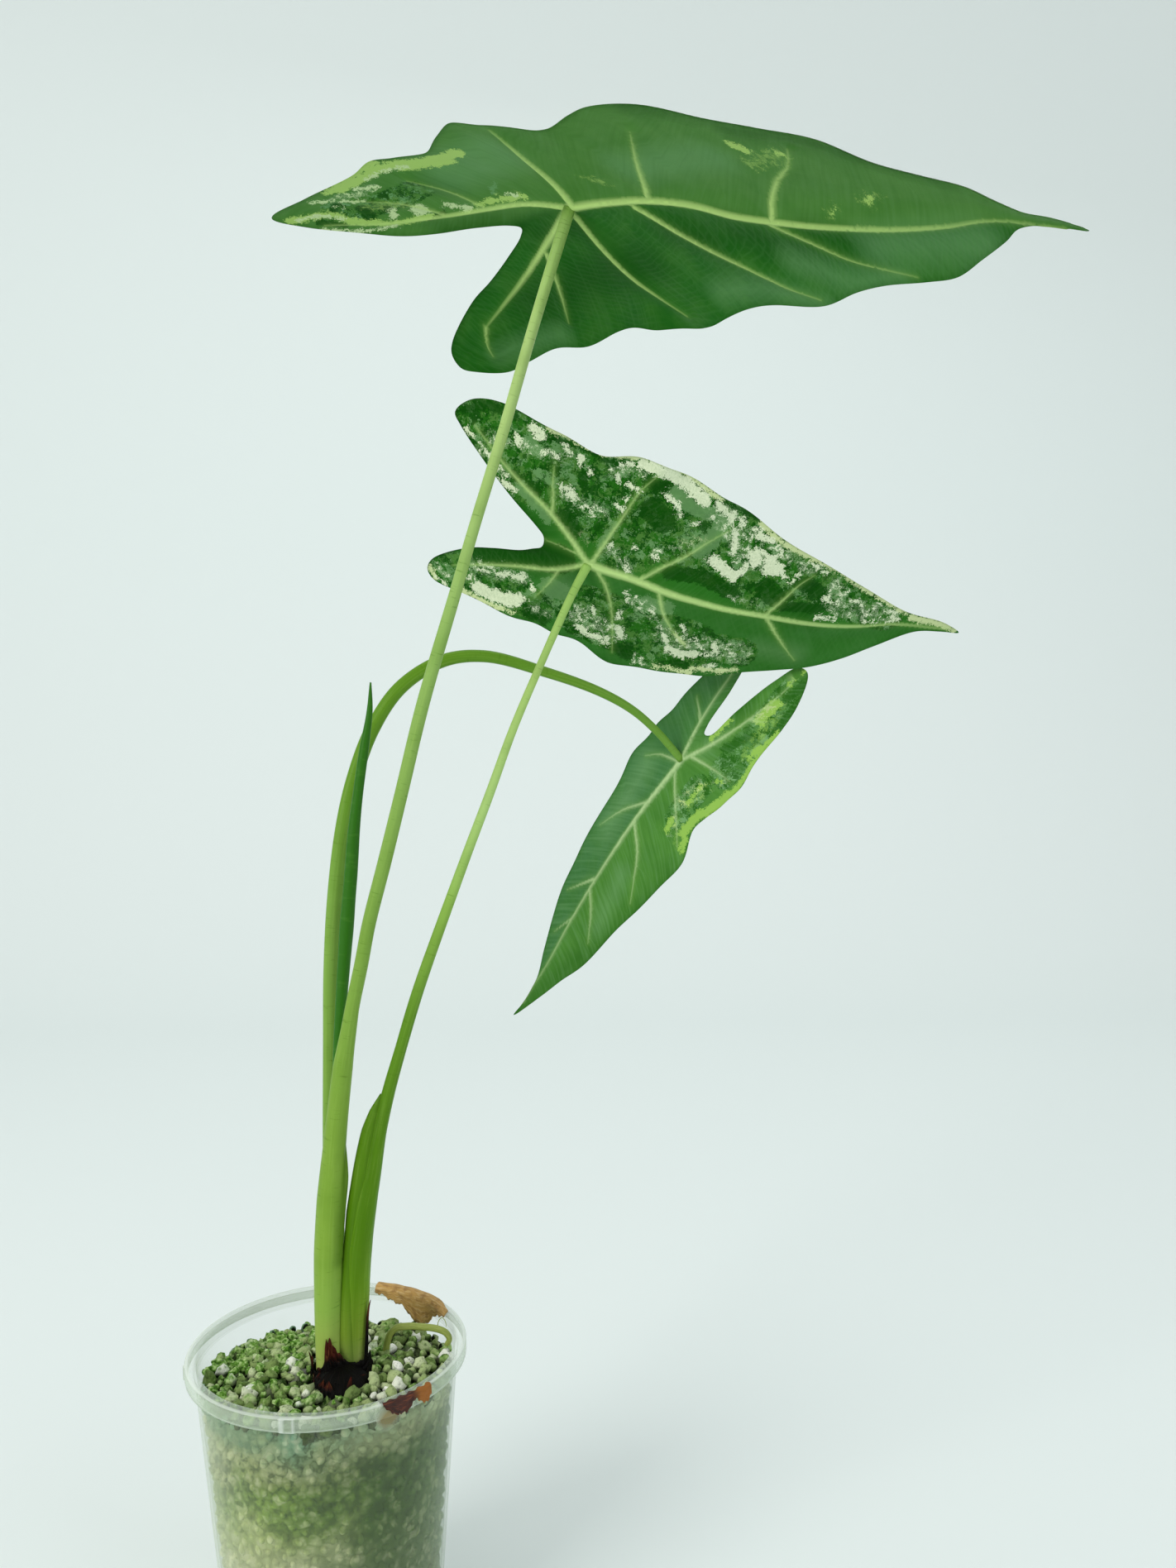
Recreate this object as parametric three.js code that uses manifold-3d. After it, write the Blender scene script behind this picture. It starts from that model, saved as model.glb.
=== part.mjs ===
// Potted variegated frydek alocasia in a clear plastic cup of pumice gravel.
// Millimetres, +Z up. The origin is the middle of the cup's flat base.
import * as THREE from 'three';
import { mergeVertices } from 'three/addons/utils/BufferGeometryUtils.js';
import Module from 'manifold-3d';

const wasm = await Module();
wasm.setup();

// Cup
const CUP_HEIGHT = 115;
const RIM_RADIUS = 50;
const WALL_TOP_RADIUS = 47.1;
const WALL_TAPER = 0.08;
const WALL = 1;
const FLOOR = 1.4;
const RIM_BAND = 5;
const CUP_SIDES = 48;
const RIM_MARK_ANGLE = -105;
const GAP = 0.35;

// Gravel
const FILL_DEPTH = 9;
const FILL_SLOPE = 0.06;
const GRAIN_COUNT = 90;
const GRAIN_SPACING = 6.6;
const GRAIN_RADIUS = [2.1, 3.2];
const GRAIN_SEED = 41;

// Leaf blades
const BLADE = 0.9;
const RIM_POINTS = 80;
const RINGS = [0.36, 0.72, 1];
const STUB = 5;

// Petiole stations: x, y, z above the cup's rim, radius
const PETIOLE_1 = [
  [1.2, -4.2, -12.5, 4.3], [1.6, -4.6, 10, 4.6], [2.4, -5.3, 36, 4.9], [3.9, -6.1, 56, 4.9],
  [5.5, -7.3, 73, 4.1], [7.5, -8.3, 88, 3.75], [9.9, -9.5, 104, 3.5], [11.2, -10.1, 111, 3.1],
  [12.8, -10.7, 119, 2.7], [14.3, -11.4, 126.5, 2.45], [18, -12.8, 141.5, 2.4], [21.3, -14.2, 156, 2.35],
  [27.7, -16.5, 178, 2.35], [34.2, -19, 201, 2.25], [42.6, -22.5, 231, 2.2], [54.4, -27.2, 266.5, 2],
  [61.3, -30.1, 287.5, 1.85], [71.9, -34.6, 318, 1.8], [81.8, -39.1, 348, 1.75], [94.3, -45, 384, 2],
];
const SHEATH_1 = [[4.6, -5.6, 34, 2.8], [5.9, -5.9, 50, 2.9], [8.2, -6, 64, 2.1], [9.3, -7, 79, 0.5]];
const PETIOLE_2 = [
  [10, -1.2, -12.5, 4.2], [10.6, -1.9, 3, 4.3], [11.4, -2.6, 18, 4.4], [12.9, -3.5, 36, 4.5],
  [16, -4.6, 54, 3.9], [18.5, -5, 65, 3.2], [21.5, -5.5, 80, 2.6], [25.4, -6.1, 95, 2.3],
  [30, -6.4, 110, 2.05], [34.7, -6.5, 125, 2.05], [38.5, -6.5, 136, 2], [54.1, -5.7, 177, 1.7],
  [63, -4.9, 199.5, 1.6], [71.6, -3.7, 222, 1.45], [81.8, -2.3, 245, 1.35], [92.6, -0.8, 268, 1.4],
  [98.5, 0, 279, 1.7],
];
const SHEATH_2 = [
  [12.4, -3.4, 30, 4], [14.2, -4.2, 50, 4.5], [15.9, -4.8, 65, 4], [16.7, -5, 72, 3.6],
  [18.4, -5.3, 80, 3.2], [20.6, -5.6, 87, 2.4], [23, -5.9, 93.5, 0.8],
];
const PETIOLE_3 = [
  [1, 7, -12.5, 3.3], [1.2, 7, 16, 3.3], [1.5, 7, 47, 3.3], [2, 7, 74, 3.2], [3, 7, 109, 3.1],
  [3.8, 7, 135, 3], [5.6, 7.6, 161, 2.9], [8.7, 10, 186, 2.85], [12.6, 13, 204, 2.75],
  [19.2, 16.6, 222, 2.65], [29.4, 20.3, 237, 2.55], [44.6, 24.1, 246.5, 2.4], [60, 27.4, 248, 2.25],
  [81.8, 32.8, 242, 1.95], [101.6, 37.7, 234.6, 1.75], [114.6, 41.3, 227.2, 1.6],
  [124.2, 44.5, 218.6, 1.5], [134, 48, 207.1, 1.6],
];
const FURLED = [
  [5.4, 3.4, -12.5, 1.6], [5, 2.6, 20, 1.9], [4.7, 2.1, 50, 2.1], [5.4, 1, 80, 1.8], [6.4, 0, 104, 1.7],
  [8.5, 0, 127.7, 2.1], [10.1, 0, 143.8, 2.4], [11.3, 0, 155.6, 2.5], [12.9, 0, 170.4, 2.4],
  [14.5, 0, 187.1, 2.1], [16.7, 0, 202.6, 1.8], [19.1, 0, 217.1, 1.6], [21.1, 0, 228.7, 1.1],
  [21.7, 0, 238.8, 0.35],
];
const SURFACE_ROOT = [
  [19.2, 5, -16, 1], [19.4, 5.5, -11.5, 1], [20.6, 6.5, -5, 1], [22.9, 7.5, 0, 1], [26.9, 8.5, 1.8, 1],
  [33.4, 9.5, 1.5, 1], [40, 10.2, -0.2, 0.95], [43.2, 10.6, -2.8, 0.9], [42.8, 10.8, -5.2, 0.7],
];

// Each leaf: the junction above the rim, the blade's own directions, how it bends in 1/100 mm,
// its outline as [along the midrib, across] in mm, its main ribs, and its margin waves.
const LEAF_1 = {
  origin: [94.5, -45, 384], along: [0.6581, -0.7352, -0.1624], across: [0.6269, 0.6545, -0.4226],
  face: [0.417, 0.1763, 0.8917], archFront: 0.09, archBack: 0.3, keel: -0.23, wave: [0.7, 11, 0.4],
  outline: [
    [184, -2], [176, -4], [167, -4], [162, -7], [157, -12], [146, -15], [135, -19], [125, -28], [108, -32], [91, -36], [74, -43],
    [59, -45], [49, -43], [33, -38], [24, -38], [14, -45], [2, -48], [-9, -45], [-22, -40], [-33, -43],
    [-40, -46], [-49, -45], [-69, -47], [-83, -48], [-80, -37], [-72, -25], [-63, -15], [-53, -9], [-39, -4],
    [-29, 0], [-26, 3], [-29, 6], [-39, 11], [-51, 16], [-63, 20], [-79, 29], [-82, 33], [-82, 39], [-78, 43],
    [-68, 49], [-58, 49], [-45, 48], [-31, 50], [-16, 48], [-4, 47], [5, 48], [20, 49], [29, 47], [38, 44],
    [50, 41], [61, 39], [82, 37], [98, 31], [109, 28], [125, 25], [136, 22], [147, 15], [157, 8], [163, 3], [171, 0], [178, -1],
  ],
  ribs: [
    [1.5, [-4, 0], [15, -1], [34, 1], [64, 8], [96, 11], [119, 10], [138, 7], [160, 0], [176, -2]],
    [1.2, [2, 0], [-15, -6], [-43, -13], [-62, -22], [-76, -36]],
    [1.2, [2, 0], [-19, 9], [-39, 19], [-51, 25], [-66, 33]],
  ],
};
const LEAF_2 = {
  origin: [98.5, 0, 279], along: [0.9512, 0.0953, -0.2936], across: [-0.2967, 0.5447, -0.7844],
  face: [0.0851, 0.8332, 0.5463], archFront: -0.16, archBack: -0.45, keel: 0.138, wave: [0.8, 13, 1.9],
  outline: [
    [145, 0], [136, -4], [119, -7], [100, -14], [81, -21], [61, -27], [45, -34], [37, -36], [21, -40],
    [7, -41], [-7, -38], [-12, -38], [-23, -40], [-43, -41], [-54, -37], [-58, -31], [-55, -28], [-46, -22],
    [-33, -14], [-21, -7], [-17.5, -4], [-17, -1], [-20, 1], [-24, 4], [-33, 8], [-42, 13], [-53, 24], [-54, 29],
    [-51, 32], [-39, 32], [-23, 32], [-9, 32], [7, 34], [20, 39], [33, 38], [45, 36], [57, 35], [70, 30],
    [81, 26], [92, 22], [103, 16], [113, 9], [126, 1], [137, 0],
  ],
  ribs: [
    [1.4, [-4, 0], [19, 1], [40, 4], [66, 3], [92, 3], [116, -1], [139, -1]],
    [1.1, [2, 1], [-9, -8], [-29, -19], [-50, -32]],
    [1.1, [2, -1], [-10, 6], [-23, 11], [-41, 19], [-49, 25]],
  ],
};
const LEAF_3 = {
  origin: [134, 48, 207.1], along: [-0.4543, 0.2766, -0.8468], across: [-0.5902, 0.6185, 0.5187],
  face: [0.6672, 0.7355, -0.1177], archFront: 0.105, archBack: -0.5, keel: 0.207, wave: [0.6, 9, 0.9],
  outline: [
    [126, 0], [112, -5], [102, -8], [91, -12], [71, -15], [58, -18], [46, -20], [33, -22], [20, -19],
    [13, -21], [4, -24], [-5, -27], [-14, -26], [-31, -27], [-42, -25], [-53, -19], [-53, -15], [-45, -12],
    [-28, -8], [-15, -5], [-14, -3], [-18, -2], [-33, -1], [-49, 4], [-57, 11], [-52, 14], [-42, 14],
    [-31, 15], [-14, 18], [4, 23], [13, 25], [31, 24], [52, 23], [64, 21], [75, 19], [85, 15], [98, 8],
    [108, 2], [118, 0],
  ],
  ribs: [
    [1.2, [-4, 0], [27, 5], [64, 6], [83, 5], [100, 2], [120, 0]],
    [0.9, [2, 0], [-13, -8], [-28, -14], [-49, -18]],
    [0.9, [2, 0], [-17, 3], [-37, 5], [-51, 8]],
  ],
};

function seededRandom(seed) {
  let state = seed;
  return () => {
    state = (state * 1664525 + 1013904223) % 4294967296;
    return state / 4294967296;
  };
}

function solid(geometry) {
  const bare = geometry.index ? geometry.toNonIndexed() : geometry.clone();
  bare.deleteAttribute('normal');
  bare.deleteAttribute('uv');
  const merged = mergeVertices(bare, 1e-4);
  const vertProperties = new Float32Array(merged.attributes.position.array);
  const triVerts = new Uint32Array(merged.index.array);
  const piece = new wasm.Manifold(new wasm.Mesh({ numProp: 3, vertProperties, triVerts }));
  if (piece.volume() > 0) {
    return piece;
  }
  // A bent strip can come out with its faces turned inwards.
  triVerts.reverse();
  return new wasm.Manifold(new wasm.Mesh({ numProp: 3, vertProperties, triVerts }));
}

function geometryOf(piece) {
  const mesh = piece.getMesh();
  const geometry = new THREE.BufferGeometry();
  geometry.setAttribute('position', new THREE.BufferAttribute(new Float32Array(mesh.vertProperties), 3));
  geometry.setIndex(new THREE.BufferAttribute(new Uint32Array(mesh.triVerts), 1));
  geometry.computeVertexNormals();
  return geometry;
}

function joinAll(pieces) {
  let level = pieces;
  while (level.length > 1) {
    const next = [];
    for (let i = 0; i < level.length; i += 2) {
      next.push(i + 1 < level.length ? level[i].add(level[i + 1]) : level[i]);
    }
    level = next;
  }
  return level[0];
}

function wallRadius(z) {
  return WALL_TOP_RADIUS - WALL_TAPER * (CUP_HEIGHT - z);
}

// A round stalk through stations of position and radius, grown by a clearance when it cuts a hole.
function stalk(stations, sides, steps, grow = 0, squash = 1) {
  const path = new THREE.CatmullRomCurve3(
    stations.map(([x, y, z]) => new THREE.Vector3(x, y, z + CUP_HEIGHT)), false, 'centripetal');
  const geometry = new THREE.CylinderGeometry(1, 1, 1, sides, steps);
  const position = geometry.attributes.position;
  const last = stations.length - 1;
  const side = new THREE.Vector3();
  const front = new THREE.Vector3();
  for (let i = 0; i < position.count; i++) {
    const t = position.getY(i) + 0.5;
    const place = path.getPoint(t);
    const tangent = path.getTangent(t);
    side.set(0, 1, 0).cross(tangent).normalize();
    front.crossVectors(tangent, side);
    const at = Math.min(t * last, last - 1e-9);
    const k = Math.floor(at);
    const radius = THREE.MathUtils.lerp(stations[k][3], stations[k + 1][3], at - k) + grow;
    place.addScaledVector(side, position.getX(i) * radius);
    place.addScaledVector(front, -position.getZ(i) * radius * squash);
    position.setXYZ(i, place.x, place.y, place.z);
  }
  return solid(geometry);
}

function cutEnds(stations, length) {
  const tip = new THREE.Vector3(...stations.at(-1));
  const before = new THREE.Vector3(...stations.at(-2));
  const back = before.sub(tip).normalize();
  tip.addScaledVector(back, length);
  return [...stations.slice(0, -1), [tip.x, tip.y, tip.z, stations.at(-1)[3]]];
}

function petiole(stations, sides, steps, wing) {
  const stem = stalk(cutEnds(stations, STUB + GAP), sides, steps);
  return wing ? stem.add(stalk(wing, 10, 8, 0, 0.75)) : stem;
}

function bladePoint(leaf, u, v, lift) {
  const arch = u > 0 ? leaf.archFront : leaf.archBack;
  const rise = -arch * u * u / 100 + leaf.keel * (Math.hypot(v, 6) - 6) + lift;
  return new THREE.Vector3(...leaf.origin)
    .add(new THREE.Vector3(0, 0, CUP_HEIGHT))
    .addScaledVector(new THREE.Vector3(...leaf.along), u)
    .addScaledVector(new THREE.Vector3(...leaf.across), v)
    .addScaledVector(new THREE.Vector3(...leaf.face), rise);
}

// Rings of the outline, shrunk towards the junction, carry the same triangles on both faces.
function blade(leaf) {
  const curve = new THREE.CatmullRomCurve3(
    leaf.outline.map(([u, v]) => new THREE.Vector3(u, v, 0)), true, 'centripetal');
  const rim = curve.getSpacedPoints(RIM_POINTS).slice(0, RIM_POINTS);
  const [height, count, phase] = leaf.wave;
  const positions = [];
  for (const lift of [0, -BLADE]) {
    positions.push(...bladePoint(leaf, 0, 0, lift).toArray());
    for (const share of RINGS) {
      for (const point of rim) {
        const turn = Math.atan2(point.y, point.x);
        const ripple = height * share ** 3 * Math.sin(count * turn + phase);
        positions.push(...bladePoint(leaf, point.x * share, point.y * share, ripple + lift).toArray());
      }
    }
  }
  const face = 1 + RINGS.length * RIM_POINTS;
  const at = (ring, k) => 1 + ring * RIM_POINTS + (k % RIM_POINTS);
  const faces = [];
  const both = (a, b, c) => faces.push(a, b, c, face + a, face + c, face + b);
  for (let k = 0; k < RIM_POINTS; k++) {
    both(0, at(0, k + 1), at(0, k));
    for (let ring = 1; ring < RINGS.length; ring++) {
      both(at(ring - 1, k), at(ring - 1, k + 1), at(ring, k));
      both(at(ring - 1, k + 1), at(ring, k + 1), at(ring, k));
    }
    const outer = RINGS.length - 1;
    const a = at(outer, k);
    const b = at(outer, k + 1);
    faces.push(a, b, face + b, a, face + b, face + a);
  }
  const geometry = new THREE.BufferGeometry();
  geometry.setAttribute('position', new THREE.BufferAttribute(new Float32Array(positions), 3));
  geometry.setIndex(faces);
  return solid(geometry);
}

function rib(leaf, [radius, ...line]) {
  const stations = line.map(([u, v], i) => {
    const place = bladePoint(leaf, u, v, -BLADE);
    const share = i / (line.length - 1);
    return [place.x, place.y, place.z - CUP_HEIGHT, radius * (1 - 0.65 * share)];
  });
  return stalk(stations, 5, line.length + 1);
}

function leafBlade(leaf, stations) {
  const junction = bladePoint(leaf, 0, 0, -BLADE / 2);
  const end = new THREE.Vector3(...cutEnds(stations, STUB).at(-1));
  const radius = stations.at(-1)[3];
  const stub = stalk(
    [[end.x, end.y, end.z, radius], [junction.x, junction.y, junction.z - CUP_HEIGHT, radius * 1.15]], 10, 1);
  return joinAll([blade(leaf), stub, ...leaf.ribs.map((line) => rib(leaf, line))]);
}

function cup() {
  const top = CUP_HEIGHT;
  const under = top - 1.6;
  const skirt = top - RIM_BAND;
  const profile = [
    [0, 0], [wallRadius(0) - 0.8, 0], [wallRadius(0.8), 0.8], [wallRadius(under), under],
    [RIM_RADIUS - 1, under], [RIM_RADIUS - 1, skirt], [RIM_RADIUS - 0.2, skirt], [RIM_RADIUS, skirt + 0.4],
    [RIM_RADIUS, top - 0.7], [RIM_RADIUS - 0.7, top], [wallRadius(top) - WALL + 0.5, top],
    [wallRadius(top) - WALL, top - 0.6], [wallRadius(3) - WALL, 3], [wallRadius(FLOOR) - WALL - 1.5, FLOOR],
    [0, FLOOR],
  ].map(([r, z]) => new THREE.Vector2(r, z));
  const body = new THREE.LatheGeometry(profile, CUP_SIDES);
  body.rotateX(Math.PI / 2);
  const mark = new THREE.BoxGeometry(1, 5.2, 3.6);
  mark.translate(RIM_RADIUS - 0.1, 0, top - RIM_BAND / 2 - 0.1);
  mark.rotateZ(THREE.MathUtils.degToRad(RIM_MARK_ANGLE));
  return solid(body).add(solid(mark));
}

function fillHeight(x, y) {
  const slope = FILL_SLOPE * y;
  const mound = 1.5 * Math.max(0, 1 - Math.hypot(x, y) / 40);
  return CUP_HEIGHT - FILL_DEPTH - slope + mound;
}

function insideOfCup(clearance, low, high) {
  const lowRadius = wallRadius(low) - WALL - clearance;
  const highRadius = wallRadius(high) - WALL - clearance;
  const profile = [[0, low], [lowRadius, low], [highRadius, high], [0, high]]
    .map(([r, z]) => new THREE.Vector2(r, z));
  const body = new THREE.LatheGeometry(profile, CUP_SIDES);
  body.rotateX(Math.PI / 2);
  return solid(body);
}

function fillBody() {
  const low = 3.2;
  const rings = [0, 14, 28, 46.2];
  const profile = [[0, low], [46.2, low], ...rings.slice().reverse().map((r) => [r, 100])]
    .map(([r, z]) => new THREE.Vector2(r, z));
  const body = new THREE.LatheGeometry(profile, 32);
  body.rotateX(Math.PI / 2);
  const position = body.attributes.position;
  for (let i = 0; i < position.count; i++) {
    if (position.getZ(i) > 50) {
      position.setZ(i, fillHeight(position.getX(i), position.getY(i)));
    }
  }
  return solid(body);
}

function grains() {
  const random = seededRandom(GRAIN_SEED);
  const spots = [];
  for (let tries = 0; tries < 20000 && spots.length < GRAIN_COUNT; tries++) {
    const r = 43 * Math.sqrt(random());
    const turn = 2 * Math.PI * random();
    const x = r * Math.cos(turn);
    const y = r * Math.sin(turn);
    const crowded = spots.some((spot) => Math.hypot(spot[0] - x, spot[1] - y) < GRAIN_SPACING);
    const underStems = Math.hypot(x - 5.2, y + 0.8) < 14;
    const underScrap = r > 33 && Math.abs(Math.atan2(y, x) + 0.75) < 0.4;
    const underDryLeaf = r > 39 && Math.abs(Math.atan2(y, x) - 0.87) < 0.5;
    const atRoot = Math.hypot(x - 19.6, y - 5.8) < 4.2;
    if (!crowded && !underStems && !underScrap && !underDryLeaf && !atRoot) {
      spots.push([x, y]);
    }
  }
  return spots.map(([x, y]) => {
    const radius = THREE.MathUtils.lerp(...GRAIN_RADIUS, random());
    const grain = new THREE.IcosahedronGeometry(radius, 0);
    grain.rotateX(6 * random());
    grain.rotateZ(6 * random());
    grain.scale(1, 0.8 + 0.3 * random(), 0.8);
    grain.translate(x, y, fillHeight(x, y) - 0.12 * radius);
    return solid(grain);
  });
}

// Lumpy foot of old leaf bases round the stems.
function sheathMound(grow) {
  const random = seededRandom(7);
  const geometry = new THREE.SphereGeometry(1, 15, 8);
  geometry.rotateX(Math.PI / 2);
  const position = geometry.attributes.position;
  const lumps = [random(), random(), random()];
  for (let i = 0; i < position.count; i++) {
    const x = position.getX(i);
    const y = position.getY(i);
    const z = position.getZ(i);
    const turn = Math.atan2(y, x);
    const lump = 1 + 0.1 * Math.hypot(x, y) * Math.sin(5 * turn + 6 * lumps[0]) * Math.sin(4 * z + lumps[1]);
    position.setXYZ(i, 5.2 + (10.6 * lump + grow) * x, -0.8 + (10.8 * lump + grow) * y,
      CUP_HEIGHT - 9.5 + (8 * lump + grow) * z);
  }
  return solid(geometry);
}

// A thin strip bent by a rule from its share across, along and through.
function strip(columns, rows, rule) {
  const geometry = new THREE.BoxGeometry(1, 1, 1, columns, 1, rows);
  const position = geometry.attributes.position;
  for (let i = 0; i < position.count; i++) {
    const place = rule(position.getX(i) + 0.5, position.getZ(i) + 0.5, position.getY(i) + 0.5);
    position.setXYZ(i, ...place);
  }
  return solid(geometry);
}

function papery(centreX, centreY, radius, from, to, low, tips) {
  return strip(6, 3, (across, up, through) => {
    const turn = THREE.MathUtils.degToRad(THREE.MathUtils.lerp(from, to, across));
    const r = radius + 0.8 * through + 0.5 * up;
    const tip = tips[Math.round(across * 6)];
    return [centreX + r * Math.cos(turn), centreY + r * Math.sin(turn),
      CUP_HEIGHT + THREE.MathUtils.lerp(low, tip, up)];
  });
}

function stems(grow) {
  return [
    stalk(PETIOLE_1.slice(0, 4), 10, 5, grow), stalk(PETIOLE_2.slice(0, 5), 10, 6, grow),
    stalk(PETIOLE_3.slice(0, 3), 10, 3, grow), stalk(FURLED.slice(0, 3), 10, 3, grow),
  ];
}

function drySheath() {
  const top = joinAll([
    sheathMound(0),
    papery(1.4, -4.4, 4.75, -150, -40, -6, [-1, 4, 1, 6, 9, 3, -2]),
    papery(10.6, -1.9, 4.75, -60, 40, -6, [-2, 3, 12, 20, 15, 5, -2]),
    papery(1, -4, 4.9, 150, 215, -6, [-3, 1, 3, 0, 4, 1, -3]),
  ]);
  const below = new THREE.CylinderGeometry(30, 30, 30, 12);
  below.rotateX(Math.PI / 2);
  below.translate(5, 0, CUP_HEIGHT - 16 - 15);
  let piece = top.subtract(solid(below));
  for (const stem of stems(GAP)) {
    piece = piece.subtract(stem);
  }
  return piece.subtract(stalk(SURFACE_ROOT, 7, 12, GAP));
}

function rootstock(grow) {
  const corm = new THREE.SphereGeometry(1, 14, 8);
  corm.rotateX(Math.PI / 2);
  corm.scale(8 + grow, 7.5 + grow, 10 + grow);
  corm.translate(5, 1, CUP_HEIGHT - 26.5);
  const roots = [
    [[9, -1, -30, 1.6], [20, -8, -42, 1.5], [29, -14, -62, 1.3], [30, -17, -88, 0.9]],
    [[1, -2, -30, 1.6], [-12, -9, -38, 1.5], [-24, -14, -54, 1.3], [-28, -18, -80, 0.9]],
    [[2, 4, -30, 1.6], [-8, 15, -40, 1.5], [-14, 25, -58, 1.2], [-15, 27, -76, 0.9]],
    [[8, 4, -30, 1.6], [18, 14, -44, 1.4], [24, 22, -66, 1.1], [22, 24, -84, 0.9]],
    [[5, 0, -32, 1.6], [4, -6, -50, 1.5], [6, -10, -72, 1.3], [2, -8, -96, 0.9]],
  ].map((line) => stalk(line, 5, 6, grow));
  return joinAll([solid(corm), ...roots]);
}

function substrate() {
  const filled = joinAll([fillBody(), ...grains()]).intersect(insideOfCup(GAP, 3.2, CUP_HEIGHT + 5));
  return filled
    .subtract(sheathMound(GAP))
    .subtract(joinAll(stems(GAP)))
    .subtract(rootstock(GAP))
    .subtract(stalk(SURFACE_ROOT, 7, 12, GAP))
    .subtract(witheredScrap(GAP));
}

// A dry piece bent round the rim: each row is [radius, height] of its two faces, from the inside out.
function dryPiece(from, to, columns, rows, edge) {
  return strip(columns, rows.length - 1, (across, up, through) => {
    const turn = THREE.MathUtils.degToRad(THREE.MathUtils.lerp(from, to, across));
    const row = Math.round(up * (rows.length - 1));
    const [nearRadius, nearHeight, farRadius, farHeight] = rows[row];
    const [shift, lift] = edge(Math.round(across * columns), row);
    const r = THREE.MathUtils.lerp(nearRadius, farRadius, through) + shift;
    return [r * Math.cos(turn), r * Math.sin(turn),
      CUP_HEIGHT + THREE.MathUtils.lerp(nearHeight, farHeight, through) + lift];
  });
}

function witheredLeaf() {
  const lower = [-1.2, -1.8, -2.8, -5, -8.4, -10.8, -10.2, -8.6, -5.2, -4.2, -3.8, -2.4, -1.4];
  const rows = [[45.7, 0, 44.9, 0], [45.8, -0.6, 45, -0.4], [46.5, 0.38, 46, 1.1], [49.2, 0.38, 49.2, 1.1]];
  return dryPiece(77, 23, 12, rows, (column, row) => {
    return row === 0 ? [WALL_TAPER * lower[column], lower[column]] : [0, 0];
  });
}

function witheredScrap(grow) {
  const inside = [-4, -6.5, -7.8, -7, -6.4, -7.4, -6.2, -5, -3.6];
  const outside = [-1.4, -3.4, -4.4, -4.1, -3.7, -2.7, -3.5, -2.6, -1.6];
  const rows = [
    [43.6, 0, 42.8 - grow, 0], [45.6, -1, 44.8 - grow, -0.8], [46.4, 0.38, 46.1, 1.1],
    [49.5, 0.38, 49.7, 1.1], [50.38, -0.7, 51.1, -0.4], [50.38, 0, 51.1, 0],
  ];
  return dryPiece(-57 - grow, -31 + grow, 8, rows, (column, row) => {
    if (row === 0) {
      return [0, inside[column] - grow];
    }
    return row === 5 ? [0, outside[column]] : [row === 1 ? grow : 0, 0];
  });
}

const plant = new THREE.Group();

function add(name, piece, color, roughness, extra = {}) {
  const material = new THREE.MeshStandardMaterial({ color, roughness, metalness: 0, ...extra });
  const mesh = new THREE.Mesh(geometryOf(piece), material);
  mesh.name = name;
  plant.add(mesh);
}

add('pot', cup(), '#dfe9e2', 0.3, { transparent: true, opacity: 0.45 });
add('substrate', substrate(), '#8aa06e', 0.9);
add('rootstock', rootstock(0), '#cfc6a4', 0.8);
add('dry_sheath', drySheath(), '#2e1c12', 0.85);
add('leaf_1_petiole', petiole(PETIOLE_1, 10, 28, SHEATH_1), '#8fbf5a', 0.45);
add('leaf_1_blade', leafBlade(LEAF_1, PETIOLE_1), '#3f7f3a', 0.5);
add('leaf_2_petiole', petiole(PETIOLE_2, 10, 26, SHEATH_2), '#84b850', 0.45);
add('leaf_2_blade', leafBlade(LEAF_2, PETIOLE_2), '#3a7a3c', 0.5);
add('leaf_3_petiole', petiole(PETIOLE_3, 10, 34), '#86b552', 0.45);
add('leaf_3_blade', leafBlade(LEAF_3, PETIOLE_3), '#4c8c46', 0.5);
add('furled_leaf', stalk(FURLED, 10, 22), '#3f8a35', 0.45);
add('surface_root', stalk(SURFACE_ROOT, 7, 12), '#8c9a5a', 0.6);
add('withered_leaf', witheredLeaf(), '#b48a54', 0.85);
add('withered_scrap', witheredScrap(0), '#7a3f1c', 0.8);

export default plant;
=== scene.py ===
# Looks of a potted variegated frydek alocasia in a clear plastic cup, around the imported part.
# Lengths are worked out in millimetres and turned to metres as each mesh is made. +Z up.
import math
from functools import partial

import bmesh
import bpy
import numpy as np
from mathutils import Matrix, Vector
from mathutils.geometry import delaunay_2d_cdt


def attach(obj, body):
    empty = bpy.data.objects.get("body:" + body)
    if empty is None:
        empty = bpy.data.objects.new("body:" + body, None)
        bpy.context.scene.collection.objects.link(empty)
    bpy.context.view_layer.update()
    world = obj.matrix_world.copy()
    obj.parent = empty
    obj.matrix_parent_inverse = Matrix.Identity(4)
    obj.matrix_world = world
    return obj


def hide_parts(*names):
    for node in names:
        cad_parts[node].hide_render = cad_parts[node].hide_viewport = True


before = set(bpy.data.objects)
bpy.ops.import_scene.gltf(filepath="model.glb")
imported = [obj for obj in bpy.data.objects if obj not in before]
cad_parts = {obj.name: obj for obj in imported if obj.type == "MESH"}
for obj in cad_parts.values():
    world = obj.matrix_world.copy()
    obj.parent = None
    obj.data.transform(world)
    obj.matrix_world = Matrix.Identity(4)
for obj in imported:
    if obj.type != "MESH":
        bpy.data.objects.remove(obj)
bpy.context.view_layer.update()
print("frame loaded:", len(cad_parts), "nodes")

cup = {
    "height": 115.0, "rimRadius": 50.0, "wallTopRadius": 47.1, "taper": 0.08, "wall": 1.0, "floor": 1.4,
    "rimBand": 5.0, "sides": 360, "markAngle": -94.3, "gateAngle": -163.0, "fillDepth": 9.0, "fillSlope": 0.06,
}


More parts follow.
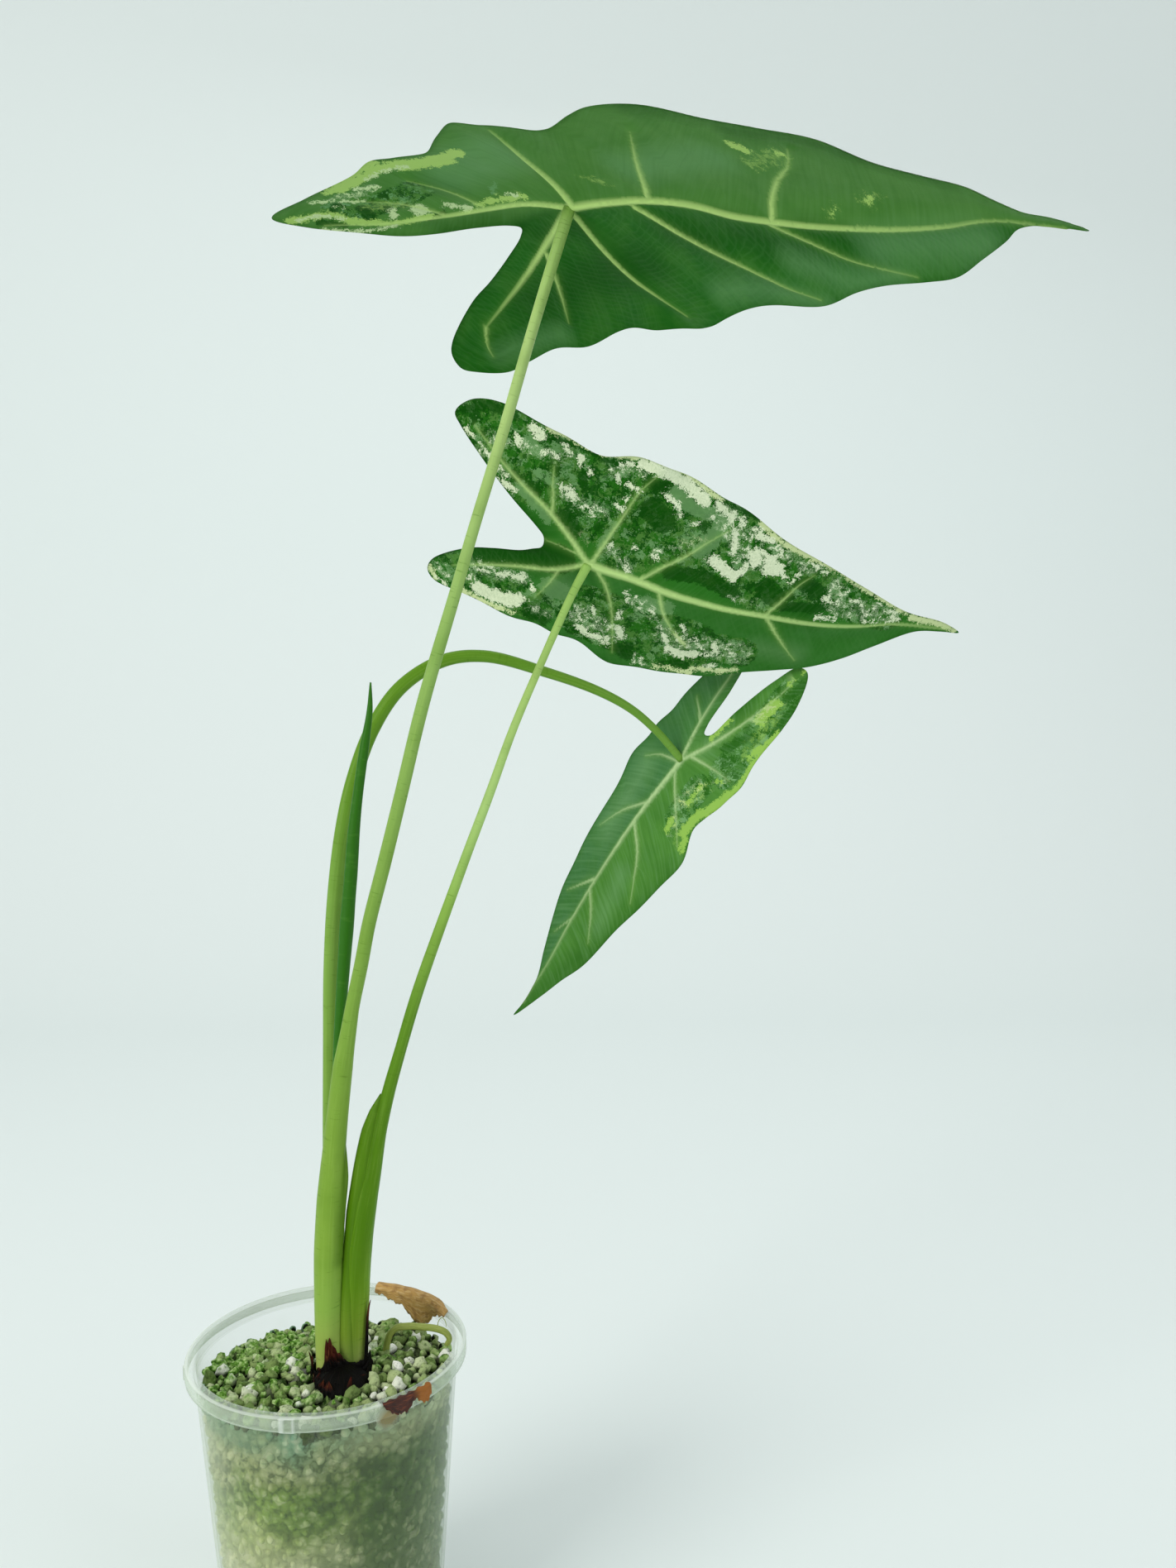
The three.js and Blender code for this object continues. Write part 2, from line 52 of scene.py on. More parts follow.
# sRGB hex colour to the linear values that shaders take.
def linear(hexColour):
    parts = [int(hexColour[i:i + 2], 16) / 255 for i in (1, 3, 5)]
    return [p / 12.92 if p <= 0.04045 else ((p + 0.055) / 1.055) ** 2.4 for p in parts] + [1.0]


# Adds a node with its settings and, for a ramp, its stops. An input is a value, a hex colour, or what it is
# linked to: a socket, or a node, of which it takes the first output in use.
def addNode(tree, kind, inputs=None, stops=(), **settings):
    node = tree.nodes.new(kind)
    for name, value in settings.items():
        setattr(node, name, value)
    for i, (position, colour) in enumerate(stops):
        stop = node.color_ramp.elements[i] if i < 2 else node.color_ramp.elements.new(position)
        stop.position = position
        stop.color = linear(colour)
    for socket, value in (inputs or {}).items():
        if isinstance(value, bpy.types.Node):
            value = next(output for output in value.outputs if output.enabled)
        if isinstance(value, bpy.types.NodeSocket):
            tree.links.new(value, node.inputs[socket])
        else:
            isHex = isinstance(value, str) and value.startswith("#")
            node.inputs[socket].default_value = linear(value) if isHex else value
    return node


# A material without nodes as yet, and addNode for its tree.
def startMaterial(name):
    material = bpy.data.materials.new(name)
    material.use_nodes = True
    material.node_tree.nodes.clear()
    return material, partial(addNode, material.node_tree)


# Gives a material its surface, whose inputs are a shader's.
def coat(material, inputs):
    shader = addNode(material.node_tree, "ShaderNodeBsdfPrincipled", inputs)
    addNode(material.node_tree, "ShaderNodeOutputMaterial", {"Surface": shader})
    return material


# Lays colours over a first colour, each by its own mask, which any further factors weaken.
def layerColours(add, first, layers):
    colour = first
    for mask, over, *factors in layers:
        for factor in factors:
            mask = add("ShaderNodeMath", {0: mask, 1: factor}, operation="MULTIPLY")
        colour = add("ShaderNodeMix", {0: mask, 6: colour, 7: over}, data_type="RGBA")
    return colour


# Distance from the cup's axis, in metres.
def axisDistance(add, place):
    flat = add("ShaderNodeVectorMath", {0: place, 1: (1.0, 1.0, 0.0)}, operation="MULTIPLY")
    return add("ShaderNodeVectorMath", {0: flat}, operation="LENGTH")


def showPiece(name, vertices, faces, material, attributes=None):
    mesh = bpy.data.meshes.new(name)
    mesh.from_pydata((np.asarray(vertices, float) / 1000).tolist(), [], faces)
    mesh.validate()
    for key, values in (attributes or {}).items():
        values = np.asarray(values, np.float32)
        kind, field = ("FLOAT", "value") if values.ndim == 1 else ("FLOAT_VECTOR", "vector")
        mesh.attributes.new(key, kind, "POINT").data.foreach_set(field, values.ravel())
    mesh.polygons.foreach_set("use_smooth", [True] * len(mesh.polygons))
    mesh.materials.append(material)
    piece = bpy.data.objects.new(name, mesh)
    bpy.context.scene.collection.objects.link(piece)
    return piece


def finishPiece(piece, slot, *nodes):
    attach(piece, "root")
    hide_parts(*nodes)


# Joins meshes given as (vertices, faces, attributes) into one.
def joinParts(parts):
    vertices, faces, attributes = [], [], {key: [] for key in parts[0][2]}
    for partVertices, partFaces, partAttributes in parts:
        start = sum(len(v) for v in vertices)
        vertices.append(np.asarray(partVertices, float))
        faces += [tuple(start + i for i in face) for face in partFaces]
        for key in attributes:
            attributes[key].append(np.asarray(partAttributes[key], float))
    return np.vstack(vertices), faces, {key: np.concatenate(value) for key, value in attributes.items()}


def wallRadius(z):
    return cup["wallTopRadius"] - cup["taper"] * (cup["height"] - z)


def fillHeight(x, y):
    mound = 1.5 * np.maximum(0, 1 - np.hypot(x, y) / 40)
    return cup["height"] - cup["fillDepth"] - cup["fillSlope"] * y + mound


# Centripetal spline through stations; columns past the third are blended straight.
def smoothPath(stations, steps, closed=False):
    points = np.array(stations, float)
    count = len(points)
    spans = count if closed else count - 1
    if closed:
        padded = np.vstack([points[-1:], points, points[:2]])
    else:
        padded = np.vstack([2 * points[:1] - points[1:2], points, 2 * points[-1:] - points[-2:-1]])
    at = np.linspace(0, spans, steps + 1)
    k = np.minimum(at.astype(int), spans - 1)
    t = (at - k)[:, None]
    p0, p1, p2, p3 = (padded[k + i] for i in range(4))
    d0, d1, d2 = (np.maximum(np.linalg.norm((b - a)[:, :3], axis=1), 1e-6)[:, None] ** 0.5
                  for a, b in ((p0, p1), (p1, p2), (p2, p3)))
    m1 = ((p1 - p0) / d0 - (p2 - p0) / (d0 + d1) + (p2 - p1) / d1) * d1
    m2 = ((p2 - p1) / d1 - (p3 - p1) / (d1 + d2) + (p3 - p2) / d2) * d1
    path = p1 + m1 * t + (3 * (p2 - p1) - 2 * m1 - m2) * t ** 2 + (2 * (p1 - p2) + m1 + m2) * t ** 3
    path[:, 3:] = (p1 + (p2 - p1) * t)[:, 3:]
    return path


# Faces between rings of points that follow each other, the first of which begins at point start.
def ringFaces(rings, sides, start=0):
    corners = [(i * sides + start + k, i * sides + start + (k + 1) % sides)
               for i in range(rings - 1) for k in range(sides)]
    return [(a, b, b + sides, a + sides) for a, b in corners]


# A closed round stalk along stations of x, y, z and radius. shape(turn, share) swells its section.
def sweep(stations, sides, steps, squash=1.0, shape=None):
    path = smoothPath(stations, steps)
    centre, radius = path[:, :3], path[:, 3]
    tangent = np.gradient(centre, axis=0)
    tangent /= np.linalg.norm(tangent, axis=1)[:, None]
    side = np.cross([0, 1, 0], tangent)
    side /= np.linalg.norm(side, axis=1)[:, None]
    front = np.cross(tangent, side)
    length = np.concatenate([[0], np.cumsum(np.linalg.norm(np.diff(centre, axis=0), axis=1))])
    turn = np.linspace(0, 2 * np.pi, sides, endpoint=False)
    rings, flow = [], []
    for i in range(steps + 1):
        swell = np.ones(sides) if shape is None else shape(turn, i / steps)
        r = radius[i] * swell
        wide, deep = r * np.cos(turn), r * np.sin(turn)
        rings.append(centre[i] + np.outer(wide, side[i]) + np.outer(deep * squash, front[i]))
        flow.append(np.stack([wide, deep, np.full(sides, length[i])], 1))
    vertices = np.vstack(rings + [centre[:1], centre[-1:]])
    flow = np.vstack(flow + [[[0, 0, 0]], [[0, 0, length[-1]]]])
    faces = ringFaces(steps + 1, sides)
    first, last = len(vertices) - 2, len(vertices) - 1
    for k in range(sides):
        faces.append((first, (k + 1) % sides, k))
        faces.append((last, steps * sides + k, steps * sides + (k + 1) % sides))
    return vertices, faces, {"flow": flow, "share": flow[:, 2] / length[-1]}


def raised(stations):
    return [(x, y, z + cup["height"], *rest) for x, y, z, *rest in stations]


# Camera and light.
view = {"place": (0.0973, -0.4647, 0.350), "pitch": 4.06, "roll": -0.82, "lens": 30.38, "backdrop": "#e9f1f0"}


def makeCamera():
    data = bpy.data.cameras.new("camera")
    data.lens = view["lens"]
    data.sensor_width = 36
    data.clip_start = 0.01
    camera = bpy.data.objects.new("camera", data)
    bpy.context.scene.collection.objects.link(camera)
    camera.rotation_mode = "XYZ"
    pitch, roll = math.radians(view["pitch"]), math.radians(view["roll"])
    look = Matrix.Rotation(math.pi / 2 - pitch, 4, "X") @ Matrix.Rotation(roll, 4, "Z")
    camera.matrix_world = Matrix.Translation(view["place"]) @ look
    bpy.context.scene.camera = camera


def makeLight(name, place, target, size, power, colour):
    data = bpy.data.lights.new(name, "AREA")
    data.shape = "SQUARE"
    data.size = size
    data.energy = power
    data.color = linear(colour)[:3]
    light = bpy.data.objects.new(name, data)
    bpy.context.scene.collection.objects.link(light)
    light.location = place
    light.rotation_euler = (Vector(target) - Vector(place)).to_track_quat("-Z", "Y").to_euler()


def makeStudio():
    # matt painted backdrop: one sheet that curves up behind, so no edge shows
    material, add = startMaterial("matt backdrop paper")
    coat(material, {"Base Color": view["backdrop"], "Roughness": 0.9, "Specular IOR Level": 0.2})
    profile = [(-2500, 0), (900, 0)]
    profile += [(900 + 600 * math.sin(a), 600 - 600 * math.cos(a)) for a in np.linspace(0.08, math.pi / 2, 18)]
    profile += [(1500, 2600)]
    vertices = [(x, y, z) for y, z in profile for x in (-3500, 3500)]
    faces = [(2 * i, 2 * i + 1, 2 * i + 3, 2 * i + 2) for i in range(len(profile) - 1)]
    floor = showPiece("floor", vertices, faces, material)
    world = bpy.data.worlds.new("studio")
    bpy.context.scene.world = world
    world.use_nodes = True
    world.node_tree.nodes["Background"].inputs["Color"].default_value = linear("#f3f6f5")
    world.node_tree.nodes["Background"].inputs["Strength"].default_value = 0.58
    makeLight("keyLight", (-1.5, -1.5, 1.3), (0.05, 0, 0.35), 1.3, 30, "#fffdf8")
    makeLight("fillLight", (1.5, -1.0, 0.7), (0.05, 0, 0.3), 1.2, 6, "#f6fbff")
    makeLight("topLight", (0.3, 0.6, 1.6), (0.08, 0, 0.4), 1.0, 5, "#ffffff")
    bpy.context.scene.view_settings.view_transform = "Standard"


makeCamera()
makeStudio()
print("camera and studio made")

# Leaf blades.
# Each leaf: the junction above the rim, the blade's directions, how it bends in 1/100 mm, its outline and
# veins in mm (along the midrib, across), and its markings as strokes. A rib or vein starts with its widths
# at both ends, a stroke with its half width, and the points' pairs of numbers follow.
bladeLook = {"step": 0.85, "rim": 0.8, "lamina": 0.5, "quilt": 1.0, "curl": 0.4, "gloss": 0.04}
topLeaf = {
    "origin": (94.5, -45, 384), "along": (0.6581, -0.7352, -0.1624), "across": (0.6269, 0.6545, -0.4226),
    "face": (0.417, 0.1763, 0.8917), "archFront": 0.09, "archBack": 0.3, "keel": -0.23, "wave": (0.7, 11, 0.4),
    "outline": (
        184, -2, 176, -4, 167, -4, 162, -7, 157, -12, 146, -15, 135, -19, 125, -28, 108, -32, 91, -36, 74, -43, 59,
        -45, 49, -43, 33, -38, 24, -38, 14, -45, 2, -48, -9, -45, -22, -40, -33, -43, -40, -46, -49, -45, -69, -47,
        -83, -48, -80, -37, -72, -25, -63, -15, -53, -9, -39, -4, -29, 0, -26, 3, -29, 6, -39, 11, -51, 16, -63, 20,
        -79, 29, -82, 33, -82, 39, -78, 43, -68, 49, -58, 49, -45, 48, -31, 50, -16, 48, -4, 47, 5, 48, 20, 49, 29,
        47, 38, 44, 50, 41, 61, 39, 82, 37, 98, 31, 109, 28, 125, 25, 136, 22, 147, 15, 157, 8, 163, 3, 171, 0, 178,
        -1,
    ),
    "ribs": (
        (1.35, 0.3, 0, 0, 15, 0, 34, 1, 51, 4, 64, 8, 79, 10, 96, 11, 119, 10, 138, 7, 156, 2, 178, -1),
        (1.3, 0.35, 0, 0, -15, -6, -29, -9, -43, -13, -62, -22, -76, -34),
        (1.2, 0.35, 0, 0, -19, 10, -39, 20, -51, 25, -64, 30),
    ),
    "veins": (
        (0.8, 0.3, -23, 14, -28, 28, -33, 40), (1.3, 0.4, 2, -1, 6, -13, 9, -27, 13, -42),
        (0.9, 0.25, 36, -1, 47, -16, 60, -31), (0.9, 0.25, 79, 9, 83, 3, 91, -5, 103, -14, 110, -22),
        (1.1, 0.3, -1, 1, 1, 15, 6, 28, 13, 37, 20, 44), (0.9, 0.25, 27, 3, 38, 13, 48, 20, 57, 25, 71, 32, 82, 35),
        (0.5, 0.2, 77, 11, 88, 16, 100, 21, 112, 23, 122, 24), (0.6, 0.2, -43, -13, -50, -26, -60, -36),
        (0.6, 0.2, -64, 30, -68, 36, -69, 41), (0.5, 0.2, -29, -9, -32, -22, -38, -33),
    ),
    "cream": (
        (0.8, -48, -40.6, -40, -40, -34, -38), (0.8, -79, -41, -74, -38, -70, -32),
        (0.8, -78, -33, -72, -26, -66, -21.5, -60, -19), (0.8, -69.5, -44, -67, -41),
        (0.6, -64, -38, -60, -36, -57, -33.8), (0.4, -68, -37.5, -66, -36),
        (0.9, -55.5, -39.5, -52, -37, -49.5, -35.6), (1.5, -58, -22.8, -56, -25), (2.7, -49, -20, -47.5, -19.8),
        (1.1, -39.5, -17.5, -37.5, -14.5, -34, -12), (0.8, -17.5, -11.8, -14.3, -10),
    ),
    "lime": (
        (1.4, -62, -44, -50, -45, -40, -45), (1.2, -30, -12.5, -22, -10.8, -12, -9),
        (2.2, -58, -42.5, -46, -42, -38, -41, -32, -38.5, -26, -36, -16, -35),
        (1.8, -35, -38, -28, -35, -19, -32.6),
        (1.4, -81, -43, -78, -40.5, -73.5, -38, -71, -35, -69, -30, -65, -25, -60, -20, -48, -16),
        (2.4, -22, -34.5, -12, -35.5), (2, 90, -22, 92, -19.6), (0.8, 103, -18.8, 106, -19.4),
        (0.9, 116.6, 2.4, 119, 1), (0.6, 102.4, 6.6, 103.6, 5.4),
    ),
    "deep": ((2.4, -62, -31, -64, -27), (1.5, -76, -36, -72, -30), (1.4, -50, -15.5, -43, -15)),
    "grey": ((0.8, -22, -14, -16, -18),),
    "speck": ((4, -64, -40, -52, -37), (2, -41, -17, -30, -12)),
    "limeSpeck": (
        (3.5, 95, -16, 106, -19), (4, 88, -12, 98, -16), (3.4, 116, 2, 121, 0), (2.4, 101, 7, 104, 5),
        (3, -30, -12, -14, -10), (4, -60, -30, -50, -26), (3, 18, -12, 24, -8),
    ),
    "mosaic": ((5, -70, -36, -60, -30, -40, -28),),
    # smooth dark strokes of painted shade, then smooth pale strokes of painted sheen
    "paintedShade": (
        (3, -34, -27, -31, -24), (3, 96, -30, 120, -25, 135, -18), (3, -50, -8, -30, -1, -22, 4),
        (8, -40, 30, -10, 26, 16, 24), (6, 34, 12, 50, 16), (5, 60, 14, 84, 20), (3, 90, 14, 110, 18),
        (3.4, 70, -43, 110, -31, 148, -14), (5, -22, 6, -4, 8),
    ),
    "sheen": (
        (3.4, 40, 36, 60, 34, 84, 37), (4, 78, 24, 98, 28, 116, 24), (6, 112, 17, 150, 10), (3, -66, 42, -40, 44),
        (9, -24, -28, 0, -30), (7, 40, -14, 76, -16),
    ),
    "creamTone": "#c6dca2", "limeTone": "#a3c768", "veinTone": "#bcdc82", "streak": 0.1, "bow": 0.08,
    # of the two halves' colours the second is the lower half's, which on this leaf is painted darker, as shade
    "shade": ("#4c7f36", "#3b7426", "#0d4a05", "#669860"), "sides": ("#4e8238", "#1c6013"),
}
middleLeaf = {
    "origin": (98.5, 0, 279), "along": (0.9512, 0.0953, -0.2936), "across": (-0.2967, 0.5447, -0.7844),
    "face": (0.0851, 0.8332, 0.5463), "archFront": -0.16, "archBack": -0.45, "keel": 0.138, "wave": (0.8, 13, 1.9),
    "outline": (
        145, 0, 136, -4, 119, -7, 100, -14, 81, -21, 61, -27, 45, -34, 37, -36, 21, -40, 7, -41, -7, -38, -12, -38,
        -23, -40, -43, -41, -54, -37, -58, -31, -55, -28, -46, -22, -33, -14, -21, -7, -17.5, -4, -17, -1, -20, 1,
        -24, 4, -33, 8, -42, 13, -53, 24, -54, 29, -51, 32, -39, 32, -23, 32, -9, 32, 7, 34, 20, 39, 33, 38, 45, 36,
        57, 35, 70, 30, 81, 26, 92, 22, 103, 16, 113, 9, 126, 1, 137, 0,
    ),
    "ribs": (
        (1.3, 0.35, 0, 0, 10, 0.5, 19, 1, 30, 2.6, 40, 3.2, 52, 3.6, 66, 3.2, 80, 3.2, 92, 2.6, 104, 1, 116, -1.5,
         139, -1.5),
        (0.95, 0.3, 0, 0, -9, -7.5, -19, -14, -29, -18.5, -38, -23, -50, -30),
        (0.9, 0.3, 0, 0, -10, 6, -23, 10.5, -34, 15.5, -45, 22),
    ),
    "veins": (
        (0.6, 0.2, -17, -13, -18, -18, -20, -24, -21, -30), (0.5, 0.2, -9, 6, -11, 13, -14, 20),
        (0.7, 0.25, 1, -1, 4, -12, 6.5, -21, 9, -30, 13, -37),
        (0.7, 0.25, 19, 0, 25, -6.5, 32, -13, 37, -19, 43, -25), (0.6, 0.2, 67, 2, 71, -5, 74, -11, 78, -16),
        (0.6, 0.2, 3, 1, 8, 6, 13, 15, 17, 27, 19, 34), (0.7, 0.2, 27, 3, 31, 11, 37, 18, 44, 24),
        (0.7, 0.2, 68, 4, 77, 13, 85, 20), (0.35, 0.3, -3, -2.2, -10, -3.2, -17, -3.2),
    ),
    "cream": (
        (2.3, 7, -39, 16, -38.8, 22, -37, 28, -34.5, 31, -33), (1.6, -31, -38.3, -27.5, -37, -29, -35.8),
        (1.2, -36, -32.2, -34.5, -30.4), (0.9, -19.5, -36, -17.5, -35), (1.7, -14, -22.5, -12, -21),
        (0.7, -17.5, -24, -16.8, -22.5), (0.6, -9.2, -31.5, -8.6, -30.6), (1, -13.4, -34, -12.8, -32),
        (0.8, 4, -31, 9, -30.4), (0.8, 0, -36.5, 5, -38), (0.7, 0, -33.5, 1, -30.5), (0.9, 3, -23, 5.6, -22.3),
        (0.6, 5.6, -27, 5, -26), (0.9, 17.5, -31.5, 20.5, -29.6, 23.6, -28, 24.6, -25.6),
        (0.8, 29.6, -24, 31, -24.6), (1.2, 35, -34, 38, -32, 41, -30),
        (1.3, 42, -31, 43.5, -27, 45.5, -23, 47, -19.5), (2.1, 41, -13, 45.5, -11.3, 50, -8.8),
        (2.4, 54.5, -18.5, 55.5, -16.5), (1.4, 52, -11, 53, -14.5), (2.5, 61, -17.5, 62, -14.5, 64.5, -15.2),
        (1.3, 57.5, -20, 60, -19), (1.1, 66, -14.5, 67.8, -13), (1.3, 52, -27.3, 55, -25.6, 59, -24.6),
        (0.8, 62.6, -22.6, 64, -20.5), (0.7, 71.3, -11.5, 72.6, -14.5), (0.9, 76, -19.7, 80, -19.3, 81.6, -17.8),
        (0.9, 45.5, -30, 47, -27.6), (0.9, 86, -7, 91.5, -6), (0.7, 91, -8, 92.8, -12), (0.9, 86, -0.3, 92.6, -0.3),
        (0.6, 95.5, -8, 99, -8.4), (0.7, 104.5, -1.2, 109.6, -1.6), (0.6, 107, -8.8, 108.5, -8),
        (0.6, 112, -4.6, 117.5, -3.4), (1, -5.6, -19, -4, -17.5), (0.8, 21, -11.2, 21.6, -9.2),
        (0.7, 5.4, -10, 5.2, -8), (0.7, 12.4, -3, 13.8, -1.8), (0.5, 13.5, -10.4, 14.5, -10),
        (0.9, -52.5, -27.6, -49.6, -26.6), (0.5, -47, -25.6, -43, -23.2), (0.6, -38, -21, -35, -19),
        (0.8, -38, -17.4, -34, -16.2, -31.5, -16), (2.8, -34, 27.3, -27, 27.3, -20.5, 25.4),
        (1.3, -20, 23, -17.5, 23.2), (1.2, -29.5, 17.4, -25, 15.6, -21, 15.4), (0.6, -36, 19, -32, 18),
        (0.5, -22, 13.3, -20.6, 12.6), (1.2, -38.6, 24, -37.4, 23), (0.6, -17, 15.5, -15.5, 18),
        (0.7, 6.6, 17.6, 8, 20.4), (0.9, 2.6, 22.6, 4.6, 24.6), (1.3, 4.6, 27.6, 9, 29, 13, 29),
        (0.9, 14.5, 30.6, 16.6, 31), (1.1, 16, 16.4, 16.6, 18.4), (0.8, 16, 7.5, 17.8, 11),
        (0.5, 14.6, 25, 15.2, 22.6), (1.6, 18.8, 23.4, 20, 26.4), (0.7, 26, 11.6, 28.4, 12.8),
        (1.2, 34.6, 21.4, 36.4, 23.6), (1.9, 38.4, 27, 43, 27.8, 48.6, 27), (0.6, 39.6, 15, 41, 17.4),
        (1.4, 53.6, 21.6, 55.4, 23.4), (0.6, 60.6, 23, 62.6, 25), (0.5, 27.4, 35.4, 28.6, 37),
        (0.7, 45.4, 20, 48.6, 23), (0.9, 51, 26.6, 53.6, 26), (0.7, -49.6, 30.6, -46, 31.4),
        (0.5, 29.8, 33.4, 31, 36.6), (0.6, 54, 31, 58, 30.4),
    ),
    "lime": (
        (1, -26, -40.3, -10, -39, 0, -39.8, 8, -40.8, 18, -40.4, 28, -38, 36, -35),
        (1.2, 53, -30, 60, -26, 70, -23.8, 80, -21.2, 86, -20), (0.9, 88, -18.6, 100, -13.6, 119, -6.6),
        (1.3, 122, -5, 134, -3.4, 142, -1.4), (0.7, 35, 35.6, 42, 34.6, 50, 35), (0.9, 50, 33, 60, 32, 66, 30),
        (0.9, -40, 31, -30, 31.2, -20, 30), (0.8, 38, 19, 43, 22.6), (0.9, -53, 28, -50, 31),
    ),
    "deep": (
        (4.6, 15, -25, 20, -22), (2.3, 34, -24, 37.6, -22), (1.6, -33, -21, -24, -18), (2.8, -13, -14, -8, -10),
        (1.8, -11, -29, -9, -25), (1.1, -23, -37.6, -10, -37.4, -3, -37), (2.6, 13, -33.6, 17, -33.6),
        (4, 63, -7.6, 67, -5), (2.2, 70, -2, 84, -3), (3, 28, -5, 40, -6, 52, -3), (3.4, -14, 27, -9, 28),
        (2.8, 21, 32, 25, 34), (2.2, 42, 32, 46, 32.6), (1.8, -55, -33, -47, -38, -38, -39),
        (1.1, 37, -34.6, 52, -31), (6, -38, 11, -22, 4, -10, 2), (1.6, -36, -12.6, -20, -4.6),
        (2.2, 101, -5, 103, -3), (3, 76, -12, 84, -9),
    ),
    "grey": (
        (3, 21, -32.4, 26, -30, 34, -29), (4.2, -10, 14, -6, 15), (1.6, 2, -8, 4.6, -17),
        (3.4, 40, -27, 38, -20, 36, -16), (3.6, 24, 9, 31, 9), (2.6, -31, -33, -28, -31), (2, -30, -17.5, -18, -11),
    ),
    "speck": (
        (3.5, -44, -28, -18, -33), (3.4, -46, -24, -36, -19.6), (3.6, -14, -20, 0, -19), (3.6, -2, -34, 8, -36),
        (6, 38, -30, 46, -24, 52, -16, 60, -18), (4, 50, -25, 64, -22, 76, -18), (3.2, 5, -8, 14, -3),
        (2.6, 20, -10, 32, -17), (5, 88, -12, 92, -5, 108, -6, 114, -4), (2.4, 52, -1, 62, -1),
        (4.6, -38, 18, -20, 15), (7, 4, 22, 14, 26), (4.5, 18, 9, 30, 13), (6, 34, 20, 46, 24),
        (6.5, 50, 23, 64, 22), (3, -50, 26, -46, 28), (3, 28, 34, 32, 36), (3, -14, 26, -8, 26),
    ),
    "mosaic": (
        (16, -46, -30, -20, -28, 0, -24, 24, -24, 44, -20, 64, -14), (7, 80, -12, 100, -7, 112, -5),
        (7, -48, 24, -30, 22, -12, 24), (12, 6, 20, 24, 22, 44, 24), (7, 56, 22, 64, 22), (6, 8, -6, 16, -8),
    ),
    "limeSpeck": ((2.4, 28, -16, 35, -19), (2, -6, -10, -2, -7), (3, 60, -26, 84, -19)),
    # smooth dark strokes of painted shade, then smooth pale strokes of painted sheen
    "paintedShade": ((5, -40, 8, -20, 2), (4, -34, -10, -22, -6), (4, 60, -4, 84, -2)),
    "sheen": ((3, 70, 18, 84, 18), (4, -6, 12, 2, 16)),
    "creamTone": "#dde6c6", "limeTone": "#c3d29a", "veinTone": "#bcdb8a", "streak": 0.07, "bow": 0.05,
    "shade": ("#4a7a33", "#226410", "#0a4602", "#66915a"), "sides": ("#2c6e20", "#34702a"),
}
lowLeaf = {
    "origin": (134, 48, 207.1), "along": (-0.4543, 0.2766, -0.8468), "across": (-0.5902, 0.6185, 0.5187),
    "face": (0.6672, 0.7355, -0.1177), "archFront": 0.105, "archBack": -0.5, "keel": 0.207, "wave": (0.6, 9, 0.9),
    "outline": (
        126, 0, 112, -5, 102, -8, 91, -12, 71, -15, 58, -18, 46, -20, 33, -22, 20, -19, 13, -21, 4, -24, -5, -27,
        -14, -26, -31, -27, -42, -25, -53, -19, -53, -15, -45, -12, -28, -8, -15, -5, -14, -3, -18, -2, -33, -1,
        -49, 4, -57, 11, -52, 14, -42, 14, -31, 15, -14, 18, 4, 23, 13, 25, 31, 24, 52, 23, 64, 21, 75, 19, 85, 15,
        98, 8, 108, 2, 118, 0,
    ),
    "ribs": (
        (1, 0.3, 0, 0, 27, 4.6, 45, 6, 64, 6, 83, 4.6, 100, 2, 120, 0),
        (0.8, 0.25, 0, 0, -13, -8, -28, -14, -44, -17.4, -51, -17),
        (0.75, 0.25, 0, 0, -17, 2, -27, 3, -37, 4, -51, 8),
    ),
    "veins": (
        (0.7, 0.25, -4, -3, -5, -14, -5, -22), (0.6, 0.2, 5, 0, 15, -7, 24, -13.6, 29, -17),
        (0.7, 0.2, 32, 5, 40, -3.6, 50, -9, 59, -13.6), (0.6, 0.2, 66, 6, 72, -1, 83, -8),
        (0.6, 0.2, 1, 1, 4, 11, 9, 18), (0.6, 0.2, 23, 5, 33, 14, 44, 20), (0.6, 0.2, 62, 7, 74, 16),
        (0.5, 0.2, -17, 2, -23, 11), (0.5, 0.2, -28, -14, -31, -20), (0.4, 0.2, 80, 5, 90, 9),
    ),
    "cream": ((0.7, -37, -18, -35, -17), (0.7, -32, -18, -31, -16.6), (0.5, 5.6, -11.6, 7.4, -11)),
    "lime": (
        (1.3, -30, -26.4, -16, -25.6, -5, -26, 0, -25), (2, 0, -24, 6, -22, 12, -18.6, 18, -16.4, 23, -16),
        (1.2, 24, -18, 29, -18.6), (1, -22, -24, -17, -23), (2, -38, -18, -30, -17.6), (1, 4, -12, 12, -11),
        (1.6, 22, -9.6, 25.6, -9), (0.8, -3, -18.6, -1.6, -17.4), (0.8, -53, -17, -46, -16.6),
        (1, -24, -8, -14, -6),
    ),
    "deep": ((1.6, -40, -24.6, -28, -25), (1.8, -22, -17, -14, -13), (2, -48, -21, -42, -20)),
    "grey": ((0.6, 4, -14, 8, -12),),
    "speck": ((3.4, -38, -18, -29, -17), (4.2, 4, -12, 14, -9), (3, 20, -10, 26, -12), (2.4, -4, -20, 0, -17)),
    "mosaic": ((6, -44, -20, -24, -20, -6, -18), (5, 4, -12, 20, -10)),
    "limeSpeck": ((4, -36, -20, -16, -22), (3, 2, -14, 14, -12), (3, 20, -12, 28, -16)),
    # smooth dark strokes of painted shade, then smooth pale strokes of painted sheen
    "paintedShade": ((3, 90, -8, 124, 0), (3, -50, -20, -30, -23), (2, 40, -20, 90, -12), (3, -14, -5, -30, -9)),
    "sheen": ((4, 10, 16, 44, 16), (2, 52, -3, 76, -7), (2, -18, -7, -8, -6)),
    "creamTone": "#bcd288", "limeTone": "#93bf55", "veinTone": "#bbd89c", "streak": 0.22, "bow": 0.04,
    "shade": ("#518842", "#437a32", "#266214", "#74a36c"), "sides": ("#518a38", "#467b46"),
}


